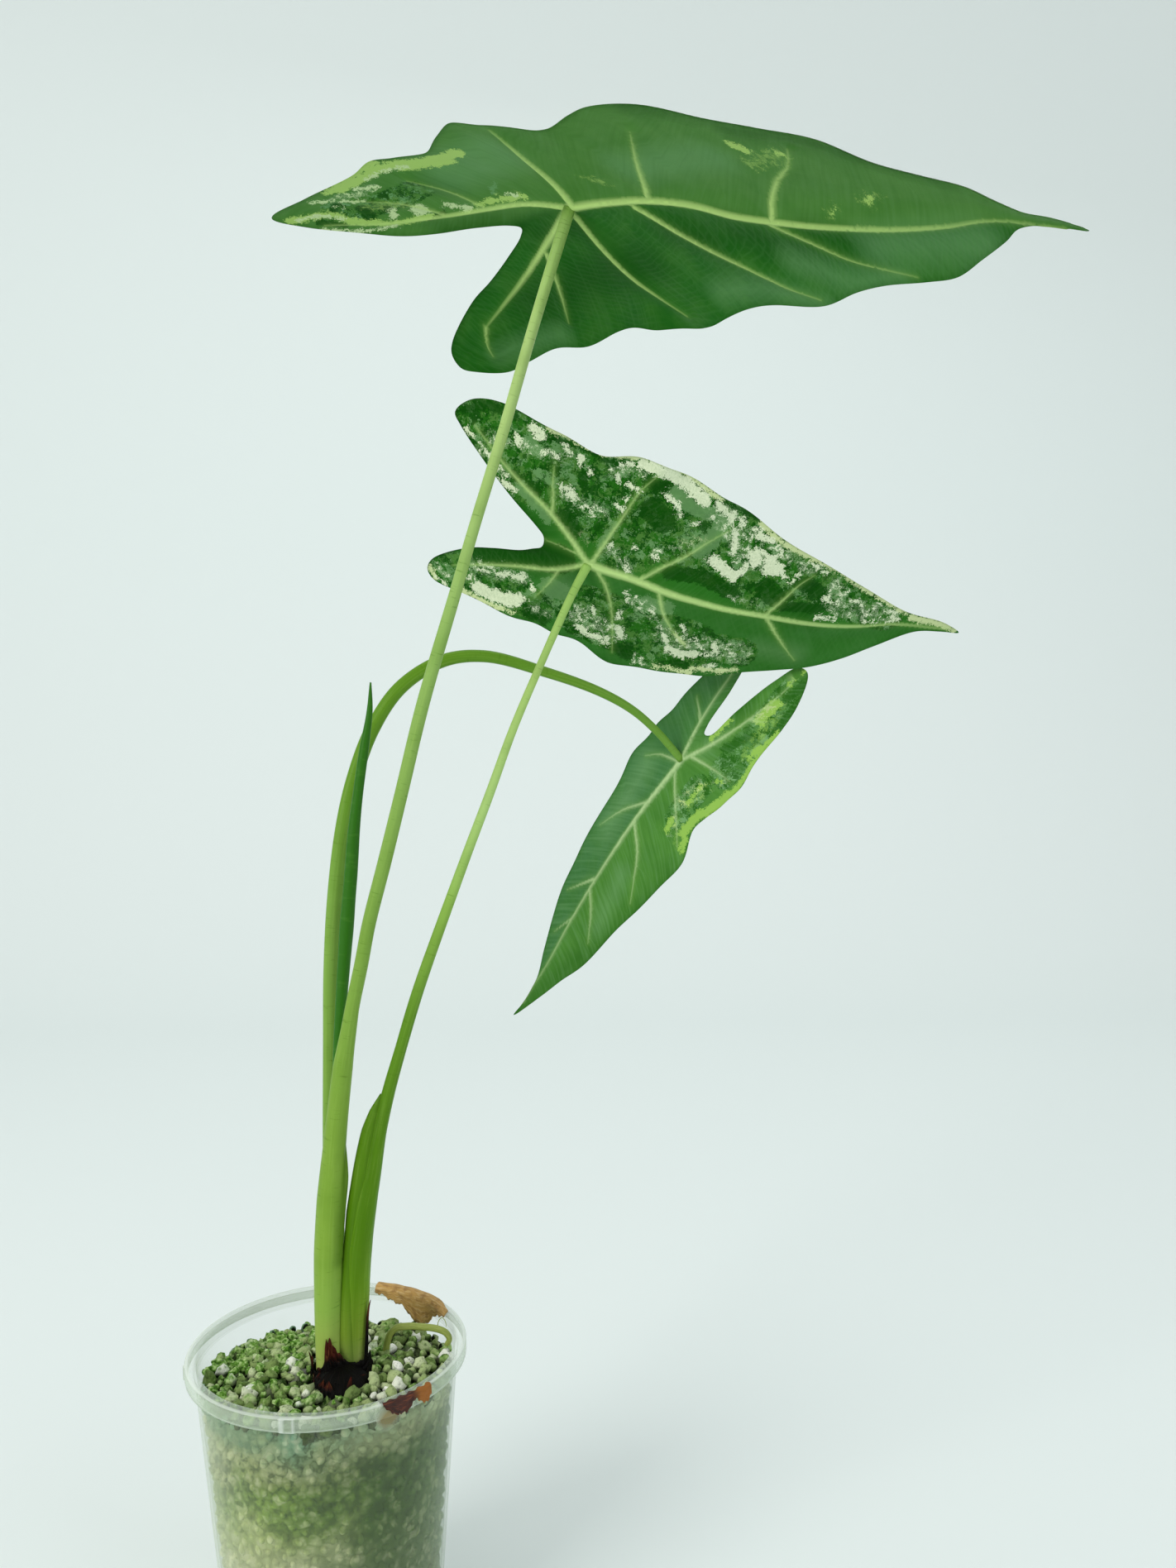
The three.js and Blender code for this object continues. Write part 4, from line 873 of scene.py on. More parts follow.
# Damp pumice: rough cream and grey grains, many of them bright green with algae, white where dry.
def pumiceSkin():
    material, add = startMaterial("damp pumice")
    place = add("ShaderNodeTexCoord").outputs["Object"]
    tone, moss, sunk, middleHeight = (add("ShaderNodeAttribute", attribute_name=key).outputs["Fac"]
                                      for key in ("tone", "moss", "sunk", "middleHeight"))
    # mottling 3 mm across and pits of 1.5 mm and less; object coordinates are metres
    mottle = add("ShaderNodeTexNoise", {"Vector": place, "Scale": 300.0, "Detail": 3.0, "Roughness": 0.6})
    shade = add("ShaderNodeTexNoise", {"Vector": place, "Scale": 620.0, "Detail": 4.0, "Roughness": 0.6})
    x, _, z = add("ShaderNodeSeparateXYZ", {"Vector": place}).outputs
    side = add("ShaderNodeMapRange", {
        "Value": x, "From Min": 0.03, "From Max": -0.03, "To Min": 0.36, "To Max": 0.76,
    })
    amount = add("ShaderNodeMath", {0: moss, 1: 0.7, 2: side}, operation="MULTIPLY_ADD")
    amount = add("ShaderNodeMath", {0: mottle, 1: 1.4, 2: amount}, operation="MULTIPLY_ADD")
    algae = add("ShaderNodeMapRange", {
        "Value": amount, "From Min": 1.45, "From Max": 1.95,
    }, interpolation_type="SMOOTHSTEP")
    stone = add("ShaderNodeValToRGB", {"Fac": tone}, stops=(
        (0.0, "#566c34"), (0.25, "#7f9656"), (0.55, "#a4b67a"), (0.84, "#ccd7ab"), (0.95, "#fafbf2")))
    green = add("ShaderNodeValToRGB", {"Fac": shade}, stops=(
        (0.34, "#30600e"), (0.48, "#649432"), (0.62, "#bcd890")))
    dark = add("ShaderNodeMapRange", {"Value": shade, "From Min": 0.44, "From Max": 0.32, "To Max": 0.68})
    # sides and undersides get painted shade, darkening from 0.9 mm above a grain's middle to 0.9 mm below it
    above = add("ShaderNodeMath", {0: z, 1: middleHeight}, operation="SUBTRACT")
    under = add("ShaderNodeMapRange", {"Value": above, "From Min": 0.0009, "From Max": -0.0009, "To Max": 0.95})
    # next to the wall the light comes in from the side, so there the painted shade on the undersides is weaker
    radius = axisDistance(add, place)
    sideLit = add("ShaderNodeMapRange", {
        "Value": radius, "From Min": 0.041, "From Max": 0.0445, "To Min": 1.0, "To Max": 0.15,
    })
    # painted shade: the undersides, and the lower layer's grains as they lie deeper
    colour = layerColours(add, stone, [
        (algae, green), (dark, "#22360d"), (under, "#0f1a06", sideLit), (sunk, "#0f1b05", 1.25),
    ])
    height = add("ShaderNodeMath", {0: mottle, 1: 1.5, 2: shade}, operation="MULTIPLY_ADD")
    bump = add("ShaderNodeBump", {"Height": height, "Strength": 0.9, "Distance": 0.0007})
    return coat(material, {"Base Color": colour, "Roughness": 0.75, "Specular IOR Level": 0.15, "Normal": bump})


# Pumice pressed to the wall, wet and filmed with algae in zones: painted bluish shade under the rim, a buff band,
# bright green, then pale straw; painted light pales the left side and painted shade darkens the right. Soft cells
# as wide as the grains.
def wallPumiceSkin(name, shaded):
    material, add = startMaterial(name)
    place = add("ShaderNodeTexCoord").outputs["Object"]
    x, _, z = add("ShaderNodeSeparateXYZ", {"Vector": place}).outputs
    drift = add("ShaderNodeTexNoise", {"Vector": place, "Scale": 45.0, "Detail": 3.0})
    fine = add("ShaderNodeTexNoise", {"Vector": place, "Scale": 520.0, "Detail": 4.0, "Roughness": 0.65})
    tone = add("ShaderNodeAttribute", attribute_name="tone").outputs["Fac"]
    bent = add("ShaderNodeTexNoise", {"Vector": place, "Scale": 260.0}).outputs["Color"]
    bent = add("ShaderNodeVectorMath", {0: bent, 1: (0.0022, 0.0022, 0.0022), 2: place}, operation="MULTIPLY_ADD")
    cells = add("ShaderNodeTexVoronoi", {"Vector": bent, "Scale": 270.0})
    cellTone = add("ShaderNodeSeparateColor", {"Color": cells.outputs["Color"]}).outputs["Red"]
    level = add("ShaderNodeMath", {0: drift, 1: 0.045, 2: z}, operation="MULTIPLY_ADD")
    level = add("ShaderNodeMapRange", {"Value": level, "From Min": 0.0725, "From Max": 0.1345})
    # the two top stops are bluish painted shade under the rim
    zones = add("ShaderNodeValToRGB", {"Fac": level}, stops=(
        (0.0, "#ccd0a4"), (0.14, "#bac48a"), (0.26, "#a2b468"), (0.36, "#86a248"), (0.46, "#769438"),
        (0.56, "#869650"), (0.68, "#b0b884"), (0.78, "#a0b080"), (0.88, "#80a682"), (1.0, "#78a28a")))
    # how far over to a side or up; painted bluish shade lies under the rim at the left, and buff grains at the
    # right
    towardsRight = add("ShaderNodeMath", {0: drift, 1: 0.04, 2: x}, operation="MULTIPLY_ADD")
    right, left, shadeUnderRim, buff, high, belowRim = (
        add("ShaderNodeMapRange", {
            "Value": value, "From Min": start, "From Max": end, "To Min": least, "To Max": most,
        })
        for value, start, end, least, most in (
            (towardsRight, 0.0, 0.04, 0, 0.92), (x, -0.018, -0.042, 0, 0.75), (x, -0.002, -0.02, 0, 0.7),
            (x, 0.006, 0.018, 0, 0.45), (z, 0.094, 0.099, 0, 1), (z, 0.104, 0.092, 0.1, 1)))
    right, left = (add("ShaderNodeMath", {0: share, 1: belowRim}, operation="MULTIPLY") for share in (right, left))
    # each cell takes a random tone and darkens towards its edge, as painted shade in the gaps between the grains
    light = add("ShaderNodeMath", {0: cellTone, 1: 0.5, 2: fine}, operation="MULTIPLY_ADD")
    light = add("ShaderNodeMath", {0: tone, 1: 0.25, 2: light}, operation="MULTIPLY_ADD")
    light = add("ShaderNodeMath", {0: cells.outputs["Distance"], 1: -0.7, 2: light}, operation="MULTIPLY_ADD")
    pale = add("ShaderNodeMapRange", {"Value": light, "From Min": 0.6, "From Max": 0.95, "To Max": 0.85})
    dark = add("ShaderNodeMapRange", {"Value": light, "From Min": 0.54, "From Max": 0.24, "To Max": 0.75})
    quiet = add("ShaderNodeMath", {0: left, 1: -0.95, 2: 1.0}, operation="MULTIPLY_ADD")
    lowDown = add("ShaderNodeMapRange", {"Value": level, "From Min": 0.1, "From Max": 0.5, "To Min": 0.4})
    quiet = add("ShaderNodeMath", {0: quiet, 1: lowDown}, operation="MULTIPLY")
    lessInRightShade = add("ShaderNodeMath", {0: right, 1: -0.75, 2: 1.0}, operation="MULTIPLY_ADD")
    paler = layerColours(add, zones, [(0.5, "#dfe0bc")])
    # the top of the body lies in the shade between the surface grains
    radius = axisDistance(add, place)
    under = add("ShaderNodeMapRange", {"Value": radius, "From Min": 0.0427, "From Max": 0.0418, "To Max": 2.0})
    over = add("ShaderNodeMath", {0: z, 1: 0.097}, operation="GREATER_THAN")
    under = add("ShaderNodeMath", {0: under, 1: over}, operation="MULTIPLY", use_clamp=True)
    # painted light pales the left side, painted shade darkens the right side and lies under the rim
    colour = layerColours(add, zones, [
        (left, "#acb28c"), (right, "#3a5a1c"), (pale, paler, lessInRightShade), (dark, "#2a4012", quiet),
        (shadeUnderRim, "#6c8f6e", high), (buff, "#b2b88a", high), (under, "#0c1504"), (shaded, "#22350f"),
    ])
    bump = add("ShaderNodeBump", {"Height": fine, "Strength": 0.6, "Distance": 0.0006})
    return coat(material, {"Base Color": colour, "Roughness": 0.8, "Specular IOR Level": 0.08, "Normal": bump})


# Painted shade between the grains: a near-black sheet.
def shadeSkin():
    material, add = startMaterial("painted gravel shade")
    place = add("ShaderNodeTexCoord").outputs["Object"]
    noise = add("ShaderNodeTexNoise", {"Vector": place, "Scale": 260.0, "Detail": 3.0})
    colour = layerColours(add, "#060a02", [(noise, "#18230b")])
    return coat(material, {"Base Color": colour, "Roughness": 0.9, "Specular IOR Level": 0.1})


# Scatters lumpy grains over a sheet. Every grain has its own tone and share of moss.
def grainTree():
    tree = bpy.data.node_groups.new("grainPile", "GeometryNodeTree")
    add = partial(addNode, tree)
    face = tree.interface
    face.new_socket("Geometry", in_out="OUTPUT", socket_type="NodeSocketGeometry")
    face.new_socket("Geometry", in_out="INPUT", socket_type="NodeSocketGeometry")
    for name, kind, value in (
        ("Spacing", "Float", 0.003), ("Smallest", "Float", 0.0013), ("Largest", "Float", 0.0023),
        ("Scatter Depth", "Float", 0.001), ("Roughness", "Float", 1.0), ("Sunk", "Float", 0.0), ("Seed", "Int", 1),
    ):
        face.new_socket(name, in_out="INPUT", socket_type="NodeSocket" + kind).default_value = value
    face.new_socket("Material", in_out="INPUT", socket_type="NodeSocketMaterial")
    given = add("NodeGroupInput").outputs
    points = add("GeometryNodeDistributePointsOnFaces", {
        "Mesh": given["Geometry"], "Distance Min": given["Spacing"], "Density Max": 4e6, "Seed": given["Seed"],
    }, distribute_method="POISSON")
    sink = add("FunctionNodeRandomValue", {2: -1.0, 3: 1.0, "Seed": 7}, data_type="FLOAT")
    sinkDepth = add("ShaderNodeMath", {0: sink, 1: given["Scatter Depth"]}, operation="MULTIPLY")
    away = add("ShaderNodeVectorMath", {0: points.outputs["Normal"], "Scale": sinkDepth}, operation="SCALE")
    moved = add("GeometryNodeSetPosition", {"Geometry": points, "Offset": away})
    lumps = add("GeometryNodeJoinGeometry")
    for k in range(7):
        ball = add("GeometryNodeMeshIcoSphere", {"Radius": 1.0, "Subdivisions": 2})
        noise = add("ShaderNodeTexNoise", {"W": 3.7 * k, "Scale": 1.25, "Detail": 2.0}, noise_dimensions="4D")
        lump = add("ShaderNodeMath", {0: noise, 1: 0.5}, operation="SUBTRACT")
        lump = add("ShaderNodeMath", {0: lump, 1: given["Roughness"]}, operation="MULTIPLY")
        normal = add("GeometryNodeInputNormal")
        push = add("ShaderNodeVectorMath", {0: normal, "Scale": lump}, operation="SCALE")
        lumped = add("GeometryNodeSetPosition", {"Geometry": ball, "Offset": push})
        lumped = add("GeometryNodeSetShadeSmooth", {"Geometry": lumped})
        one = add("GeometryNodeGeometryToInstance", {"Geometry": lumped})
        tree.links.new(one.outputs[0], lumps.inputs[0])
    pick = add("FunctionNodeRandomValue", {4: 0, 5: 6, "Seed": 17}, data_type="INT")
    turn = add("FunctionNodeRandomValue", {1: (6.28, 6.28, 6.28), "Seed": 3}, data_type="FLOAT_VECTOR")
    size = add("FunctionNodeRandomValue", {2: given["Smallest"], 3: given["Largest"], "Seed": 5}, data_type="FLOAT")
    flat = add("FunctionNodeRandomValue", {
        0: (0.7, 0.65, 0.6), 1: (1.2, 1.0, 0.9), "Seed": 9,
    }, data_type="FLOAT_VECTOR")
    scale = add("ShaderNodeVectorMath", {0: flat, "Scale": size}, operation="SCALE")
    grains = add("GeometryNodeInstanceOnPoints", {
        "Points": moved, "Instance": lumps, "Pick Instance": True, "Instance Index": pick,
        "Rotation": turn, "Scale": scale,
    })
    # what the skin reads of each grain; from the height of its middle it shades the underside
    tone, moss = (add("FunctionNodeRandomValue", {"Seed": seed}, data_type="FLOAT") for seed in (11, 13))
    middle = add("ShaderNodeSeparateXYZ", {"Vector": add("GeometryNodeInputPosition")}).outputs["Z"]
    for name, value in (("tone", tone), ("moss", moss), ("sunk", given["Sunk"]), ("middleHeight", middle)):
        grains = add("GeometryNodeStoreNamedAttribute", {"Geometry": grains, "Name": name, "Value": value},
                     data_type="FLOAT", domain="INSTANCE")
    real = add("GeometryNodeRealizeInstances", {"Geometry": grains})
    painted = add("GeometryNodeSetMaterial", {"Geometry": real, "Material": given["Material"]})
    add("NodeGroupOutput", {"Geometry": painted})
    return tree


# Runs a node tree on a mesh and keeps the result as a plain mesh object.
def grown(name, holder, tree, values):
    modifier = holder.modifiers.new("grow", "NODES")
    modifier.node_group = tree
    for item in tree.interface.items_tree:
        if item.item_type == "SOCKET" and item.in_out == "INPUT" and item.name in values:
            modifier[item.identifier] = values[item.name]
    bpy.context.view_layer.update()
    graph = bpy.context.evaluated_depsgraph_get()
    result = holder.evaluated_get(graph)
    mesh = bpy.data.meshes.new_from_object(result, preserve_all_data_layers=True, depsgraph=graph)
    mesh.name = name
    bpy.data.objects.remove(holder)
    piece = bpy.data.objects.new(name, mesh)
    bpy.context.scene.collection.objects.link(piece)
    return piece


def hollowed(x, y):
    # the fill dips round the foot of the stems, and sinks towards the back left
    lowBack = 2.0 * np.clip((y - 0.6 * x) / 45, 0, 1)
    return fillHeight(x, y) - lowBack - 3.0 * np.exp(-(((x - 6) / 11) ** 2 + ((y + 9) / 14) ** 2))


def makeGravel():
    shade = shadeSkin()
    tree = grainTree()
    n = gravel["sides"]
    turn = np.linspace(0, 2 * np.pi, n, endpoint=False)

    # a circle that lies drop mm below the surface of the fill
    def laid(r, drop):
        return [(r * math.cos(a), r * math.sin(a), hollowed(r * math.cos(a), r * math.sin(a)) - drop) for a in turn]

    # rings of points with a point above the last ring and one below the first as the last two
    def closed(rings, count):
        top, bottom = count - 2, count - 1
        last = (rings - 1) * n
        caps = [(last + k, last + (k + 1) % n, top) for k in range(n)]
        return ringFaces(rings, n) + caps + [((k + 1) % n, k, bottom) for k in range(n)]

    def pile(name, holder, skin):
        spacing, smallest, largest, scatter, rough, sunk, seed = gravel[name]
        piece = grown(name, holder, tree, {
            "Spacing": spacing / 1000, "Smallest": smallest / 1000, "Largest": largest / 1000,
            "Scatter Depth": scatter / 1000, "Roughness": rough, "Sunk": sunk, "Seed": seed, "Material": skin,
        })
        finishPiece(piece, "gravel", "substrate")
        print(name, len(piece.data.polygons), "faces")

    # wet body behind the wall, lumpy at the width of a grain; a fifth of its colour is painted shade
    levels = np.linspace(2.4, 103.5, 150)
    vertices = []
    for z in levels:
        swell = 0.35 * np.sin(0.9 * z + 3 * np.sin(13 * turn)) * np.sin(37 * turn + 0.5 * z)
        r = wallRadius(z) - gravel["bodyGap"] + swell
        vertices += [(r[k] * math.cos(a), r[k] * math.sin(a), z) for k, a in enumerate(turn)]
    # its top keeps below the grains of the surface
    heights = np.array([v[2] for v in vertices]).reshape(len(levels), n)
    limit = np.array([z for _, _, z in laid(gravel["rimReach"], gravel["bodyDepth"])])
    heights = np.minimum(heights, limit - (levels[-1] - levels)[:, None] * 0.01)
    vertices = [(x, y, z) for (x, y, _), z in zip(vertices, heights.ravel())]
    for r in (wallRadius(104) - 3.4, wallRadius(104) - 5):
        vertices += [(r * math.cos(a), r * math.sin(a), limit[k] - 0.1 * (k % 2)) for k, a in enumerate(turn)]
    vertices += [(0, 0, float(limit.min()) - 1), (0, 0, gravel["foot"])]
    tone = np.clip(0.5 + 0.5 * np.sin(5 * np.arange(len(vertices))), 0, 1)
    core = showPiece("gravelCore", vertices, closed(len(levels) + 2, len(vertices)),
                     wallPumiceSkin("wet pumice body", 0.2), {"tone": 0.35 + 0.2 * tone})
    finishPiece(core, "gravel", "substrate")
    # near-black sheet of painted shade under the surface grains
    reach = wallRadius(104) - 4.5
    rows = [reach * s for s in (1.0, 0.9, 0.8, 0.7, 0.6, 0.5, 0.4, 0.3, 0.2, 0.1)]
    vertices = [(reach * math.cos(a), reach * math.sin(a), 100.0) for a in turn]
    for r in rows:
        vertices += laid(r, gravel["shadeDepth"])
    vertices += [(0, 0, hollowed(0.0, 0.0) - gravel["shadeDepth"]), (0, 0, 100.0)]
    ground = showPiece("gravelShade", vertices, closed(len(rows) + 1, len(vertices)), shade)
    finishPiece(ground, "gravel", "substrate")
    # the surface carries two layers of grains, none under the foot of the stems
    skin = pumiceSkin()
    bareX, bareY, bareWide, bareDeep = gravel["bare"]
    for name, drop in (("gravelTop", gravel["topDrop"]), ("gravelUnder", gravel["underDrop"])):
        radii = np.linspace(0, wallRadius(105) - 3.0, 26)[1:]
        sheet = [(0, 0, hollowed(0.0, 0.0) - drop)]
        for r in radii:
            sheet += laid(r, drop)
        flat = [(0, 1 + k, 1 + (k + 1) % n) for k in range(n)]
        flat += [(a, d, c, b) for a, b, c, d in ringFaces(len(radii), n, 1)]
        middle = np.array([np.mean([sheet[i][:2] for i in f], axis=0) for f in flat])
        clear = ((middle[:, 0] - bareX) / bareWide) ** 2 + ((middle[:, 1] - bareY) / bareDeep) ** 2 > 1
        holder = showPiece(name + "Sheet", sheet, [f for f, free in zip(flat, clear) if free], shade)
        pile(name, holder, skin)

    # grains that press against the wall: they reach the band at the front right and end a little lower elsewhere
    def wallTop(a):
        r = gravel["rimReach"]
        return hollowed(r * math.cos(a), r * math.sin(a)) + 0.3 + 1.2 * math.exp(-((a - 4.97) / 0.5) ** 2)

    sheet, low = [], gravel["wallFoot"]
    for z in np.linspace(low, 105.5, 40):
        r = wallRadius(z) - gravel["grainGap"]
        sheet += [(r * math.cos(a), r * math.sin(a), min(z, low + (z - low) * (wallTop(a) - low) / 101))
                  for a in turn]
    holder = showPiece("wallSheet", sheet, ringFaces(40, n), shade)
    pile("gravelWall", holder, wallPumiceSkin("wet pumice behind the wall", 0.0))


makeGravel()

# Foot of the stems.
foot = {
    # middle of the mound and its half widths
    "mound": (6.4, -8.6, 103.0, 10.6, 15.2, 8.6), "moundRows": 22, "moundSides": 48,
    "strips": 14, "fibres": 26, "seed": 8, "collars": 4, "collarRows": 9, "collarSides": 220, "backHeight": 109,
    # height of the torn top edge at each x, seen from the front
    "tornEdge": (
        (-7, 109), (-5.2, 110.5), (-4, 108.4), (-1.5, 109), (0.2, 111.4), (0.7, 112.6), (1, 118.5), (1.5, 121.2),
        (2, 119.6), (2.6, 122.1), (3.2, 120.8), (3.6, 118.4), (4.6, 117.8), (5.2, 115.2), (6.6, 114.4), (8, 112.2),
        (11, 110.8), (13.8, 111.2), (15.2, 113.4), (16.5, 112),
    ),
    # the dry edge that runs up the right side of the second stem, and bits at the left
    "edges": (
        ((14.6, -5, 104, 1.5), (14.9, -5, 110, 1.3), (15.2, -5, 116, 1.1), (15.5, -5, 122, 0.9),
         (15.8, -5, 127, 0.8), (16.4, -5, 131.5, 0.5), (16.9, -5, 133.4, 0.2)),
        ((-5, -5.6, 104, 1.5), (-4.9, -6, 108, 1.4), (-4.7, -6.2, 111.5, 1), (-4.5, -6.3, 114, 0.4)),
        ((-5.6, -2.6, 103, 1.2), (-5.5, -2.6, 108, 1.1), (-5.9, -2.7, 111, 0.9), (-6.4, -2.8, 113.5, 0.3)),
    ),
}
# x, y and radius of each stem where it leaves the gravel
stems = ((1.1, -4.5, 5.1), (10.7, -2.0, 4.8), (1.1, 7.0, 3.5))
surfaceRoot = [
    (18.6, 9, -16, 1.25), (19, 9, -12.5, 1.25), (19.8, 9, -6.5, 1.25), (21.2, 9, -1.4, 1.25), (23.6, 9, 0.9, 1.25),
    (27.6, 9, 1.4, 1.28), (32.2, 9, 1.2, 1.28), (38, 9.4, 0.3, 1.25), (41.6, 9.8, -1.6, 1.2), (43, 10, -4.2, 1.1),
    (41.8, 10, -6.4, 0.9),
]
hair = [
    (38.6, 11, 0.4, 0.16), (39, 11, 2.2, 0.15), (40.2, 11, 3.6, 0.14), (41.4, 11, 2.4, 0.13), (41.9, 11, 0.2, 0.1),
]


# Papery old leaf bases: nearly black where damp, maroon and tan at the torn tips, drawn with fibres.
def paperSkin():
    material, add = startMaterial("papery old leaf base")
    flow = add("ShaderNodeAttribute", attribute_name="flow").outputs["Vector"]
    share = add("ShaderNodeAttribute", attribute_name="share").outputs["Fac"]
    drawn = add("ShaderNodeMapping", {"Vector": flow, "Scale": (1.8, 1.8, 0.14)})
    fibres = add("ShaderNodeTexNoise", {"Vector": drawn, "Scale": 1.0, "Detail": 4.0})
    blotch = add("ShaderNodeTexNoise", {"Vector": flow, "Scale": 0.3, "Detail": 2.0})
    streak = add("ShaderNodeMapRange", {"Value": fibres, "From Min": 0.54, "From Max": 0.7, "To Max": 0.55})
    high = add("ShaderNodeMath", {0: share, 1: 1.6}, operation="POWER")
    high = add("ShaderNodeMath", {0: blotch, 1: 0.4, 2: high}, operation="MULTIPLY_ADD")
    maroon = add("ShaderNodeMapRange", {"Value": high, "From Min": 0.5, "From Max": 0.95})
    colour = layerColours(add, "#050403", [(streak, "#1c120a"), (maroon, "#42160c"), (streak, "#8a5c2c", maroon)])
    bump = add("ShaderNodeBump", {"Height": fibres, "Strength": 0.8, "Distance": 0.0005})
    return coat(material, {"Base Color": colour, "Roughness": 0.65, "Specular IOR Level": 0.1, "Normal": bump})


# Corm and roots: pale buff skin with darker rings and grime. It is hidden in the gravel.
def cormSkin():
    material, add = startMaterial("corm skin, dull")
    place = add("ShaderNodeTexCoord").outputs["Object"]
    blotch = add("ShaderNodeTexNoise", {"Vector": place, "Scale": 240.0, "Detail": 4.0})
    colour = layerColours(add, "#8d7a54", [(blotch, "#d6cba6")])
    bump = add("ShaderNodeBump", {"Height": blotch, "Strength": 0.6, "Distance": 0.0004})
    return coat(material, {"Base Color": colour, "Roughness": 0.75, "Normal": bump})


# Living root: olive, matt, finely wrinkled lengthwise, greyer where root hairs stand.
def rootSkin():
    material, add = startMaterial("living root, matt")
    flow = add("ShaderNodeAttribute", attribute_name="flow").outputs["Vector"]
    drawn = add("ShaderNodeMapping", {"Vector": flow, "Scale": (2.0, 2.0, 0.4)})
    wrinkle = add("ShaderNodeTexNoise", {"Vector": drawn, "Scale": 1.0, "Detail": 4.0})
    colour = layerColours(add, "#74832e", [(wrinkle, "#abb75e")])
    bump = add("ShaderNodeBump", {"Height": wrinkle, "Strength": 0.5, "Distance": 0.0004})
    return coat(material, {"Base Color": colour, "Roughness": 0.6, "Normal": bump})


# A thin ragged strip that leans along the stems: two faces, cupped, torn at its tip.
def paperStrip(rows, across, thickness, tear):
    rows = np.array(rows, float)
    count, wide = len(rows), len(across)
    tangent = np.gradient(rows[:, :3], axis=0)
    tangent /= np.linalg.norm(tangent, axis=1)[:, None]
    outward = rows[:, :3] - (5.5, -1.0, 0)
    outward[:, 2] = 0
    outward -= tangent * np.sum(outward * tangent, 1)[:, None]
    outward /= np.linalg.norm(outward, axis=1)[:, None]
    side = np.cross(tangent, outward)
    vertices, flow, share = [], [], []
    for face in (1, -1):
        for i in range(count):
            for k, a in enumerate(across):
                cupped = -0.35 * a * a * rows[i, 3]
                fray = tear[k] * (i / (count - 1)) ** 3
                thin = thickness * (0.35 + 0.65 * (1 - a * a)) * (1 - 0.5 * i / (count - 1))
                off = outward[i] * (cupped + face * thin / 2)
                vertices.append(rows[i, :3] + side[i] * a * rows[i, 3] + off - tangent[i] * fray)
                flow.append((a * rows[i, 3] + 40 * rows[0, 0], face, rows[i, 2]))
                share.append(i / (count - 1))
    faces = sheetFaces(count, wide)
    return vertices, [tuple(reversed(f)) for f in faces], {"flow": flow, "share": share}


# Faces of a thin closed sheet whose two sides are grids of count by wide points, one after the other.
def sheetFaces(count, wide):
    n, faces = count * wide, []
    for i in range(count - 1):
        for k in range(wide - 1):
            a = i * wide + k
            faces.append((a, a + 1, a + wide + 1, a + wide))
            faces.append((a + n, a + n + wide, a + n + wide + 1, a + n + 1))
    border = [k for k in range(wide)] + [i * wide + wide - 1 for i in range(1, count)]
    border += [(count - 1) * wide + k for k in range(wide - 2, -1, -1)]
    border += [i * wide for i in range(count - 2, 0, -1)]
    return faces + [(a, a + n, b + n, b) for a, b in zip(border, border[1:] + border[:1])]


# One torn leaf base wrapped round all the stems, offset mm away from them.
def tornCollar(layer, draw):
    columns, rows = foot["collarSides"], foot["collarRows"]
    turn = np.radians(np.linspace(-270, 90, 2000))
    normal = np.stack([np.cos(turn), np.sin(turn)], 1)
    reach = np.array([normal @ (x, y) + r for x, y, r in stems])
    nearest = np.argmax(reach, 0)
    middle, radius = np.array([stems[i][:2] for i in nearest]), np.array([stems[i][2] for i in nearest])
    hull = middle + normal * (radius + 0.5 + 0.55 * layer)[:, None]
    length = np.concatenate([[0], np.cumsum(np.linalg.norm(np.diff(hull, axis=0), axis=1))])
    at = np.linspace(0, length[-1], columns + 1)[:-1]
    ring = np.stack([np.interp(at, length, hull[:, i]) for i in (0, 1)], 1)
    facing = np.interp(at, length, turn)
    away = np.stack([np.cos(facing), np.sin(facing)], 1)
    front = np.clip(0.5 - away[:, 1] * 4, 0, 1)
    edge = front * np.interp(ring[:, 0], *np.array(foot["tornEdge"]).T) + (1 - front) * foot["backHeight"]
    steps = np.linspace(0, 2 * np.pi, columns, endpoint=False)
    phase = draw.uniform(0, 6.28, 4)
    teeth = ((5, 0.8), (13, 0.7), (31, 0.4))
    saw = sum(np.abs(np.sin(count * steps + start)) * size for (count, size), start in zip(teeth, phase))
    edge += saw - 0.9 - 2.4 * layer
    vertices, flow, share = [], [], []
    for inside in (0, 1):
        for i in range(rows):
            s = i / (rows - 1)
            for k in range(columns):
                z = 101 + (max(edge[k], 105.5) - 101) * s
                wrinkle = 0.25 * layer * math.sin(9 * steps[k] + 3 * s + phase[3])
                flare = 2.6 * (1 - s) ** 2 + wrinkle - 0.35 * inside
                x, y = ring[k] + away[k] * flare
                vertices.append((x, y, z))
                flow.append((at[k], 3 * layer, z))
                share.append(s * min(1, max(0.2, (z - 109) / 8)))
    n, faces = rows * columns, []
    for a, b, c, d in ringFaces(rows, columns):
        faces += [(a, b, c, d), (a + n, d + n, c + n, b + n)]
    top = (rows - 1) * columns
    for k in range(columns):
        b = (k + 1) % columns
        faces += [(top + k, top + b, top + b + n, top + k + n), (k, k + n, b + n, b)]
    return vertices, faces, {"flow": flow, "share": share}


